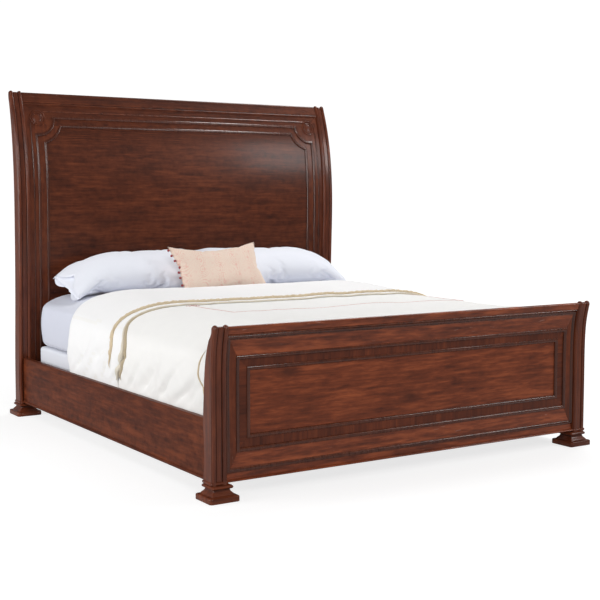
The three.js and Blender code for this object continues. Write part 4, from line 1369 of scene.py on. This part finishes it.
class SLEIGHBED_OT_coverlet(bpy.types.Operator):
    """Build the coverlet with its turned-back lining, cord and stitched line"""

    bl_idname = "sleighbed.coverlet"
    bl_label = "Coverlet"

    def execute(self, context):
        look = context.scene.sleighbed_bedding
        form = CoverletForm()
        arcs = [s * form.reach for s in (i / HALF_COLUMNS for i in range(-HALF_COLUMNS, HALF_COLUMNS + 1))]
        rows = coverlet_rows(form)
        grid = [[form.at(s, place(s), lift, drop) for s in arcs] for place, lift, drop in rows]
        outside = fabric("Coverlet Cloth", tuple(look.coverlet), threads=620, depth=0.14, slub=0.4)
        lining = fabric("Coverlet Lining", tuple(look.lining), threads=980, depth=0.10)
        sheet = make_piece("coverlet_cloth", *thick_sheet(grid, 0.0085), outside, "coverlet", body="mattress",
                           replaces=["coverlet"], angle=75)
        sheet.data.materials.append(lining)
        self.line_flap(sheet, form)
        cord = self.cord(form, look)
        hem, hem_shadow_strip = self.hem_roll(form, look), self.hem_shadow_strip(form, look)
        stitches = self.stitches(form, look)
        corner = self.corner_cord(form, look)
        return {"FINISHED"}

    @staticmethod
    def line_flap(sheet, form):
        """Give the turned-back part the colour of the lining."""
        for face in sheet.data.polygons:
            centre = face.center
            lifted = sheet_height(form, centre)
            if centre.y > form.fold - 0.70 and lifted > 0.009:
                face.material_index = 1

    @staticmethod
    def cord(form, look):
        """Gathered cord lying on the turned-back part."""
        reach = form.reach - (0.395 - form.hem)
        laid = laid_cord(form, steps(-reach, reach, 0.006), lambda s: cord_line(form, s), lambda s: 0.0175,
                         lambda s: 0.0076, 14, (0.50, 0.47, 1.3), twist=0.12)
        return trim_piece("coverlet_cord", laid, cord_cloth(look))

    @staticmethod
    def hem_roll(form, look):
        """Rolled hem of the turned-back part, fuller where it hangs down the sides."""
        reach = form.reach - (0.350 - form.hem)

        def full(s):
            return smoothstep(0.62, 0.40, form.across(s)[1])

        laid = laid_cord(form, steps(-reach, reach, 0.008), lambda s: hem_line(form, s) - 0.002,
                         lambda s: 0.0094 + 0.006 * full(s), lambda s: 0.0042 + 0.0088 * full(s), 6,
                         (0.34, 0.30, 1.2), seed=5.0)
        roll = fabric("Hem", tuple(look.hem), threads=700, depth=0.3, slub=0.8)
        return trim_piece("coverlet_hem", laid, roll)

    @staticmethod
    def hem_shadow_strip(form, look):
        """Darker beige strip beside the rolled hem, one length on each side: partly the beige underside of
        the hem, partly painted shadow where the hem stands off the cloth.
        """
        parts = []
        for side in (-1, 1):
            points, normals = [], []
            for s in steps(form.reach - 0.62, form.reach - (0.352 - form.hem), 0.008):
                _, z, nx, nz = form.across(side * s)
                full = smoothstep(0.66, 0.42, z)
                points.append(form.at(side * s, hem_line(form, side * s) - 0.010 - 0.012 * full, 0.0044))
                normals.append(Vector((nx, 0, nz)))

            def radius(i, angle, points=points):
                share = min(1.0, i / (len(points) * 0.55))
                end = min(1.0, (len(points) - 1 - i + 0.4) / 5)
                gather = 0.30 * noise.noise(Vector((i * 0.33, math.cos(angle) * 1.2, side * 4.0)))
                return (0.0012 + 0.0075 * share) * end * (1 + gather)

            parts.append(tube(points, normals, radius, 10))
        shadow_beige = fabric("Facing", tuple(c * 0.72 for c in look.cord), threads=500, depth=0.3, slub=0.9)
        return trim_piece("coverlet_facing", joined(*parts), shadow_beige)

    @staticmethod
    def stitches(form, look):
        """Row of short stitches in a rectangle on the top, with a small motif at each end."""
        left, right, front, back = -0.575, 0.765, -0.535, -0.135
        path = [(left, back), (left, front), (right, front), (right, back)]
        marks = []
        for (x0, y0), (x1, y1) in zip(path, path[1:]):
            run = math.hypot(x1 - x0, y1 - y0)
            for d in steps(0.0, run, 0.0075)[:-1]:
                t = d / run
                marks.append((x0 + (x1 - x0) * t, y0 + (y1 - y0) * t, (x1 - x0) / run, (y1 - y0) / run))
        for x in (left, right):
            for i in range(26):
                angle = i * 2.399
                reach = 0.0045 * math.sqrt(i)
                marks.append((x + reach * 1.7 * math.cos(angle), back - 0.012 + reach * 0.8 * math.sin(angle),
                              math.cos(angle * 1.7), math.sin(angle * 1.7)))
        parts = []
        for x, y, dx, dy in marks:
            arc = form_arc(form, x)
            centre = form.at(arc, y, 0.0048)
            normal = Vector((0, 0, 1))
            along = Vector((dx, dy, 0)) * 0.0034
            over = along.cross(normal) * 0.46
            ring = [form_tilt(form, arc, y, centre, along * math.cos(a) + over * math.sin(a))
                    for a in (2 * math.pi * k / 8 for k in range(8))]
            peak = [centre + (point - centre) * 0.45 + Vector((0, 0, 0.0012)) for point in ring]
            base = [point - Vector((0, 0, 0.0022)) for point in ring]
            parts.append(loft([base, ring, peak]))
        thread = fabric("Embroidery Thread", tuple(look.embroidery), threads=1400, depth=0.2)
        return trim_piece("coverlet_stitches", joined(*parts), thread)

    @staticmethod
    def corner_cord(form, look):
        """Narrow trim down the coverlet's corner beside the footboard."""
        base = form.reach + form.hem
        arcs = [z - base for z in steps(0.375, 0.575, 0.006)]

        def line(s):
            return -0.975 + 0.030 * math.sin(math.pi * smoothstep(0.375, 0.60, s + base))

        laid = laid_cord(form, arcs, line, lambda s: 0.0062, lambda s: 0.0036, 8, (0.25, 0.5, 1.0), sides=10)
        return trim_piece("coverlet_corner_trim", laid, cord_cloth(look))


def form_arc(form, x):
    """Arc length from the middle at which the coverlet reaches a width."""
    low, high = 0.0, form.reach
    for _ in range(30):
        middle = (low + high) / 2
        low, high = (middle, high) if form.across(middle)[0] < abs(x) else (low, middle)
    return math.copysign(low, x)


def form_tilt(form, arc, y, centre, offset):
    """Point beside a centre on the coverlet, at the surface's own height there."""
    beside = form.at(arc + offset.x, y + offset.y, 0.0048)
    return Vector((centre.x + offset.x, centre.y + offset.y, beside.z))


def sheet_height(form, point):
    """How far a point stands off the coverlet's plain form."""
    best = 1e9
    if abs(point.x) < form.half - 0.004 or point.z > form.top - 0.08:
        arc = form_arc(form, max(-form.half + 0.001, min(form.half - 0.001, point.x)))
    else:
        arc = math.copysign(form.reach - (point.z - form.hem), point.x)
    for shift in (-0.01, 0.0, 0.01):
        x, z, nx, nz = form.across(arc + shift)
        away = (point.x - x) * nx + (point.z - z) * nz
        best = min(best, away - form.relief(arc + shift, point.y))
    return best


# ---------------------------------------------------------------------------- pillows
def envelope(width, height, columns, rows, flange=0.0):
    """Two cloths sewn together round their edges, and how strongly air pushes at each point."""
    points, faces, push = [], [], []
    index = {}
    for layer in (1, -1):
        for j in range(rows + 1):
            for i in range(columns + 1):
                u, v = i / columns, j / rows
                rim = i in (0, columns) or j in (0, rows)
                if rim and layer < 0:
                    index[layer, i, j] = index[1, i, j]
                    continue
                index[layer, i, j] = len(points)
                x, y = (u - 0.5) * width, (v - 0.5) * height
                open_share = smoothstep(flange * 0.9, flange * 1.25, u * width) if flange else 1.0
                body = math.sin(math.pi * u) ** 0.5 * math.sin(math.pi * v) ** 0.5 * 0.012
                crease = 0.0016 * noise.noise(Vector((x * 24, y * 24, layer * 3.0 + width * 9))) * open_share
                points.append(Vector((x, y, layer * (body * open_share + 0.0012) + crease)))
                push.append(open_share)
    for layer in (1, -1):
        for j in range(rows):
            for i in range(columns):
                face = [index[layer, i + a, j + b] for a, b in ((0, 0), (1, 0), (1, 1), (0, 1))]
                faces.append(tuple(face if layer > 0 else reversed(face)))
    return points, faces, push


def inflate(name, width, height, columns, rows, pressure, frames, flange=0.0):
    """Points and faces of a sewn envelope blown up as cloth."""
    points, faces, push = envelope(width, height, columns, rows, flange)
    mesh = bpy.data.meshes.new(name)
    mesh.from_pydata([tuple(p) for p in points], [], faces)
    blown = bpy.data.objects.new(name, mesh)
    bpy.context.scene.collection.objects.link(blown)
    group = blown.vertex_groups.new(name="filled")
    for k, share in enumerate(push):
        group.add([k], share, "REPLACE")
    modifier = blown.modifiers.new("Cloth", "CLOTH")
    cloth = modifier.settings
    cloth.quality = 6
    cloth.mass = 0.2
    cloth.tension_stiffness = cloth.compression_stiffness = 12
    cloth.shear_stiffness = 3
    cloth.bending_stiffness = 0.12
    cloth.air_damping = 2
    cloth.use_pressure = True
    cloth.uniform_pressure_force = pressure
    cloth.vertex_group_pressure = group.name
    cloth.effector_weights.gravity = 0
    modifier.collision_settings.use_collision = False
    modifier.point_cache.frame_start, modifier.point_cache.frame_end = 1, frames
    scene = bpy.context.scene
    for step in range(1, frames + 1):
        scene.frame_set(step)
    settled = blown.evaluated_get(bpy.context.evaluated_depsgraph_get()).to_mesh()
    result = relaxed([v.co.copy() for v in settled.vertices], faces, push)
    if flange:
        open_end(result, columns, rows, width)
    bpy.data.objects.remove(blown)
    scene.frame_set(1)
    return result, faces


def open_end(points, columns, rows, width):
    """Straighten the unfilled end of the case and open it like a mouth."""
    wide = columns + 1
    edge = sum(points[j * wide].x for j in range(rows + 1)) / (rows + 1)
    for j in range(rows + 1):
        gape = math.sin(math.pi * j / rows) ** 0.5
        for i in range(8):
            keep = (i / 8) ** 2
            top = points[j * wide + i]
            straight = edge + i * width / columns
            top.x = top.x * keep + straight * (1 - keep)
            if 0 < j < rows and i > 0:
                under = points[(rows + 1) * wide + (j - 1) * (columns - 1) + i - 1]
                under.x = under.x * keep + straight * (1 - keep)
                spread = 0.010 * gape * (1 - i / 8)
                top.z, under.z = top.z + spread, under.z - spread
        rim = points[j * wide]
        rim.x += 0.030 * gape if 0 < j < rows else 0.0


def relaxed(points, faces, push):
    """Points with the unfilled cloth smoothed between its neighbours."""
    beside = [set() for _ in points]
    for face in faces:
        for i, a in enumerate(face):
            beside[a].update((face[i - 1], face[(i + 1) % len(face)]))
    for _ in range(14):
        means = [sum((points[j] for j in near), Vector()) / len(near) for near in beside]
        points = [p if push[k] > 0.8 else p.lerp(means[k], 0.6) for k, p in enumerate(points)]
    return points


def fitted(points, size):
    """Points scaled to a size about their own middle."""
    low = Vector([min(p[i] for p in points) for i in range(3)])
    high = Vector([max(p[i] for p in points) for i in range(3)])
    middle = (low + high) / 2
    scale = [size[i] / (high[i] - low[i]) for i in range(3)]
    return [Vector([(p[i] - middle[i]) * scale[i] for i in range(3)]) for p in points]


def smooth_mesh(piece, levels=1):
    modifier = piece.modifiers.new("Smooth", "SUBSURF")
    modifier.levels = modifier.render_levels = levels
    with bpy.context.temp_override(object=piece, active_object=piece, selected_objects=[piece]):
        bpy.ops.object.modifier_apply(modifier=modifier.name)


def seam_cord(points, loop, radius, name, material, body):
    """Thin seam along a closed run of points."""
    run = [points[i] for i in loop]
    rings = []
    for i, point in enumerate(run):
        along = (run[(i + 1) % len(run)] - run[i - 1]).normalized()
        side = along.cross(Vector((0.3, 0.5, 0.8))).normalized()
        up = side.cross(along)
        rings.append([point + (side * math.cos(a) + up * math.sin(a)) * radius
                      for a in (2 * math.pi * k / 6 for k in range(6))])
    return make_piece(name, *loft(rings, closed=True), material, "sheeting", body=body, angle=80)


def pillow_place(node, tilt):
    lowest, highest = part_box(node)
    return (lowest + highest) / 2, Matrix.Rotation(math.radians(tilt), 3, "X")


def settle(point, gap, wall):
    """Keep a point a gap above the mattress and before the board that the pillow leans on."""
    low = bed_height(point.x, point.y) + gap
    if point.z < low + 0.004:
        point.z = low + 0.0005 + 0.0035 * math.exp((point.z - low - 0.004) * 40)
    back = wall.front(point.z) - 0.004
    if point.y > back:
        point.y = back - 0.001 * math.exp((back - point.y) * 20)
    return point


def loop_of(columns, rows):
    """Rim of the sewn envelope, in order, as indices of its first cloth."""
    wide = columns + 1
    return [*range(wide), *(j * wide + columns for j in range(1, rows + 1)),
            *(rows * wide + i for i in range(columns - 1, -1, -1)),
            *(j * wide for j in range(rows - 1, 0, -1))]


class SLEIGHBED_OT_pillows(bpy.types.Operator):
    """Build the two sleeping pillows in their cases"""

    bl_idname = "sleighbed.pillows"
    bl_label = "Sleeping pillows"

    SIZE = (0.850, 0.458, 0.172)
    COLUMNS, ROWS = 74, 40
    ROUND = {"left": (0.500, 0.36, 0.44), "right": (0.550, 0.37, 0.50)}

    def execute(self, context):
        look = context.scene.sleighbed_bedding
        case = fabric("Pillowcase", tuple(look.sheet), threads=1150, depth=0.10)
        points, faces = inflate("pillow", 0.96, 0.54, self.COLUMNS, self.ROWS, 5.0, 26, flange=0.085)
        board = head_board()
        _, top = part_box("mattress")
        for side, way in SIDES:
            centre, turn = pillow_place(f"pillow_{side}", 28)
            placed = []
            begin, run, fall = self.ROUND[side]
            for point in fitted(points, self.SIZE):
                moved = turn @ Vector((-way * point.x, point.y, point.z)) + centre
                moved += Vector((-way * 0.018, 0, 0.007))
                outward = max(0.0, (way * moved.x - begin) / run)
                inward = smoothstep(0.10, 0.0, way * moved.x)
                moved.z = top.z + (moved.z - top.z) * (1 - fall * outward ** 2 - 0.08 * inward)
                moved.z -= 0.020 * smoothstep(0.775, 0.860, way * moved.x)
                placed.append(settle(moved, 0.003, board))
            order = [tuple(reversed(face)) for face in faces] if way > 0 else faces
            piece = make_piece(f"pillow_case_{side}", placed, order, case, "sheeting", body=f"pillow_{side}",
                               replaces=[f"pillow_{side}"], angle=80)
            smooth_mesh(piece)
            seam_cord(placed, loop_of(self.COLUMNS, self.ROWS), 0.0013, f"pillow_seam_{side}", case,
                      f"pillow_{side}")
        return {"FINISHED"}


def paisley(name):
    """Printed cloth: scrolled drops and dots in faint bands."""
    look = bpy.context.scene.sleighbed_bedding
    material, g, shader = new_material(name)
    place = g.node("TexCoord").outputs["Object"]
    woven = group_node(g, "Cloth Weave", {"Vector": place, "Threads": 620.0, "Slub": 0.3})
    flat = g.node("Mapping", {"Vector": place, "Scale": (1.0, 0.0, 1.0)}).outputs[0]
    drift = g.node("TexNoise", {"Vector": flat, "Scale": 9.0, "Detail": 1.0}).outputs["Color"]
    warped = g.mix(0.055, flat, drift, "ADD")
    cells = g.node("TexVoronoi", {"Vector": warped, "Scale": 15.0, "Randomness": 0.85},
                   voronoi_dimensions="3D").outputs["Distance"]
    rings = g.math("SINE", g.math("MULTIPLY", cells, 52.0))
    broken = g.ramp(g.noise(flat, 170.0, 2.0), 0.42, 0.56)
    scroll = g.math("MULTIPLY", g.ramp(rings, 0.2, 0.8), broken)
    swirl = g.node("TexVoronoi", {"Vector": warped, "Scale": 38.0, "Randomness": 0.9}).outputs["Distance"]
    dots = g.ramp(swirl, 0.30, 0.18)
    axes = g.node("SeparateXYZ", {"Vector": flat}).outputs
    bands = g.math("SINE", g.math("MULTIPLY", axes["X"], 62.0))
    band = g.ramp(bands, -0.2, 0.6, 0.35, 1.0)
    figure = g.math("MULTIPLY", g.math("MAXIMUM", scroll, g.math("MULTIPLY", dots, 0.8)), band)
    ground = g.mix(g.ramp(g.noise(place, 6.0), 0.35, 0.65), rgba(look.print_ground),
                   rgba(c * 0.94 for c in look.print_ground))
    g.put(shader.inputs["Base Color"], g.mix(g.math("MULTIPLY", figure, 0.60), ground, rgba(look.print_rose)))
    shader.inputs["Roughness"].default_value = 0.9
    shader.inputs["Sheen Weight"].default_value = 0.2
    shader.inputs["Specular IOR Level"].default_value = 0.25
    relief(g, shader, woven["Height"], 0.25)
    return material


class SLEIGHBED_OT_accent(bpy.types.Operator):
    """Build the printed accent pillow with its pompoms"""

    bl_idname = "sleighbed.accent"
    bl_label = "Accent pillow"

    SIZE = (0.545, 0.324, 0.106)
    COLUMNS, ROWS = 46, 30

    def execute(self, context):
        look = context.scene.sleighbed_bedding
        cloth = paisley("Printed Cotton")
        points, faces = inflate("accent", 0.55, 0.36, self.COLUMNS, self.ROWS, 6.0, 24)
        centre, turn = pillow_place("accent_pillow", 58)
        board = head_board()
        loop = loop_of(self.COLUMNS, self.ROWS)
        roll = Matrix.Rotation(math.radians(2.0), 3, "Z")
        placed = [settle(turn @ roll @ point + centre, 0.006, board) for point in fitted(points, self.SIZE)]
        piece = make_piece("accent_case", placed, faces, cloth, "paisley", body="accent_pillow",
                           replaces=["accent_pillow"], angle=80)
        smooth_mesh(piece)
        seam_cord(placed, loop, 0.0016, "accent_seam", cloth, "accent_pillow")
        wide = self.COLUMNS + 1
        pom = fabric("Pompom Wool", tuple(look.pompom), threads=700, depth=0.5, sheen=0.6)
        parts = []
        for k in range(9):
            at = placed[round(self.ROWS * (0.06 + 0.88 * k / 8)) * wide] + Vector((-0.0095, -0.001, 0))
            parts.append(self.pompom(at, 0.0066, k))
        make_piece("accent_pompoms", *joined(*parts), pom, "paisley", body="accent_pillow", angle=50)
        return {"FINISHED"}

    @staticmethod
    def pompom(centre, radius, seed):
        """Clipped wool ball with a tufted surface."""
        ball = bmesh.new()
        bmesh.ops.create_icosphere(ball, subdivisions=4, radius=1.0)
        for vertex in ball.verts:
            tuft = noise.noise(vertex.co * 5.5 + Vector((seed * 3.7, 0, 0)))
            vertex.co = centre + vertex.co * radius * (1 + 0.22 * tuft)
        vertices = [v.co.copy() for v in ball.verts]
        faces = [tuple(v.index for v in face.verts) for face in ball.faces]
        ball.free()
        return vertices, faces


# ------------------------------------------------------------------------------ studio
CAMERA_PLACE = (-3.1257, -5.0336, 1.1772)
CAMERA_TURN = (85.013, 0, -32.826)                 # degrees
CAMERA_LENS, CAMERA_SENSOR = 69.94, 36.0           # mm


def area_light(name, place, target, size, strength):
    light = bpy.data.lights.new(name, "AREA")
    light.shape, light.size, light.size_y = "RECTANGLE", *size
    light.energy = strength
    made = bpy.data.objects.new(name, light)
    made.location = place
    made.rotation_mode = "QUATERNION"
    made.rotation_quaternion = (Vector(target) - Vector(place)).to_track_quat("-Z", "Y")
    made.visible_camera = False
    bpy.context.scene.collection.objects.link(made)
    return made


class SLEIGHBED_OT_studio(bpy.types.Operator):
    """Build the floor, the lights and the camera"""

    bl_idname = "sleighbed.studio"
    bl_label = "Studio"

    def execute(self, context):
        look = context.scene.sleighbed_studio
        self.floor()
        self.sky(look.sky)
        area_light("key", (-2.4, -6.4, 3.6), (0, -0.4, 0.6), (2.6, 2.0), look.key)
        area_light("overhead", (2.4, 0.9, 4.4), (0, -0.2, 0.6), (2.6, 1.4), look.overhead)
        area_light("side", (-5.2, 0.4, 1.6), (-0.6, 0, 0.6), (3.0, 2.4), look.side)
        area_light("glare", (3.4, -2.9, 2.9), (0.6, 1.0, 1.3), (1.0, 1.2), look.glare)
        view = bpy.data.cameras.new("camera")
        view.sensor_width, view.lens = CAMERA_SENSOR, CAMERA_LENS
        camera = bpy.data.objects.new("camera", view)
        camera.location = CAMERA_PLACE
        camera.rotation_euler = [math.radians(turn) for turn in CAMERA_TURN]
        context.scene.collection.objects.link(camera)
        context.scene.camera = camera
        context.scene.view_settings.view_transform = "Standard"
        return {"FINISHED"}

    @staticmethod
    def floor():
        mesh = bpy.data.meshes.new("floor")
        mesh.from_pydata([(-30, -30, 0), (30, -30, 0), (30, 30, 0), (-30, 30, 0)], [], [(0, 1, 2, 3)])
        material, g, shader = new_material("Studio Floor")
        shader.inputs["Base Color"].default_value = (0.40, 0.40, 0.40, 1)
        shader.inputs["Roughness"].default_value = 0.9
        shader.inputs["Specular IOR Level"].default_value = 0.1
        place = g.node("TexCoord").outputs["Object"]
        # Painted light: seen from the camera the floor glows more strongly away from the bed, where the lamps
        # reach less, so it stays white; other rays see only a faint glow
        away = g.node("VectorMath", {0: place}, operation="LENGTH").outputs["Value"]
        seen = g.mix(g.ramp(away, 2.2, 4.2), rgba((0.73, 0.73, 0.73)), rgba((1.0, 1.0, 1.0)))
        given = g.mix(g.node("LightPath").outputs["Is Camera Ray"], rgba((0.14, 0.14, 0.14)), seen)
        g.put(shader.inputs["Emission Color"], given)
        shader.inputs["Emission Strength"].default_value = 1.0
        mesh.materials.append(material)
        floor = bpy.data.objects.new("floor", mesh)
        bpy.context.scene.collection.objects.link(floor)

    @staticmethod
    def sky(strength):
        """Even light from all round, seen as white behind the bed."""
        world = bpy.data.worlds.new("studio")
        bpy.context.scene.world = world
        world.use_nodes = True
        g = Graph(world.node_tree)
        lit = world.node_tree.nodes["Background"]
        lit.inputs["Color"].default_value = (1, 1, 1, 1)
        lit.inputs["Strength"].default_value = strength
        seen = g.node("Background", {"Color": (1, 1, 1, 1), "Strength": 1.05})
        ray = g.node("LightPath").outputs["Is Camera Ray"]
        mixed = g.node("MixShader", {0: ray, 1: lit.outputs[0], 2: seen.outputs[0]})
        world.node_tree.links.new(mixed.outputs[0], world.node_tree.nodes["World Output"].inputs["Surface"])


class SLEIGHBED_PT_panel(bpy.types.Panel):
    """Settings and steps of the sleigh bed"""

    bl_idname = "SLEIGHBED_PT_panel"
    bl_label = "Sleigh Bed"
    bl_space_type = "VIEW_3D"
    bl_region_type = "UI"
    bl_category = "Bed"

    def draw(self, context):
        for group in ("wood", "joinery", "bedding", "studio"):
            settings = getattr(context.scene, f"sleighbed_{group}")
            box = self.layout.box()
            for prop in settings.bl_rna.properties:
                if not prop.is_readonly and prop.identifier != "name":
                    box.prop(settings, prop.identifier)
        for operator in OPERATORS:
            self.layout.operator(operator.bl_idname)


OPERATORS = (
    SLEIGHBED_OT_posts, SLEIGHBED_OT_headboard, SLEIGHBED_OT_footboard, SLEIGHBED_OT_feet, SLEIGHBED_OT_rails,
    SLEIGHBED_OT_mattress, SLEIGHBED_OT_coverlet, SLEIGHBED_OT_pillows, SLEIGHBED_OT_accent,
    SLEIGHBED_OT_studio,
)
GROUPS_OF_SETTINGS = {
    "sleighbed_wood": SLEIGHBED_PG_wood, "sleighbed_joinery": SLEIGHBED_PG_joinery,
    "sleighbed_bedding": SLEIGHBED_PG_bedding, "sleighbed_studio": SLEIGHBED_PG_studio,
}


def register():
    for group in GROUPS_OF_SETTINGS.values():
        bpy.utils.register_class(group)
    for name, group in GROUPS_OF_SETTINGS.items():
        setattr(bpy.types.Scene, name, PointerProperty(type=group))
    for operator in OPERATORS:
        bpy.utils.register_class(operator)
    bpy.utils.register_class(SLEIGHBED_PT_panel)


def unregister():
    bpy.utils.unregister_class(SLEIGHBED_PT_panel)
    for operator in reversed(OPERATORS):
        bpy.utils.unregister_class(operator)
    for name, group in GROUPS_OF_SETTINGS.items():
        delattr(bpy.types.Scene, name)
        bpy.utils.unregister_class(group)


def main():
    register()
    for operator in OPERATORS:
        area, action = operator.bl_idname.split(".")
        getattr(getattr(bpy.ops, area), action)()


if __name__ == "__main__":
    main()
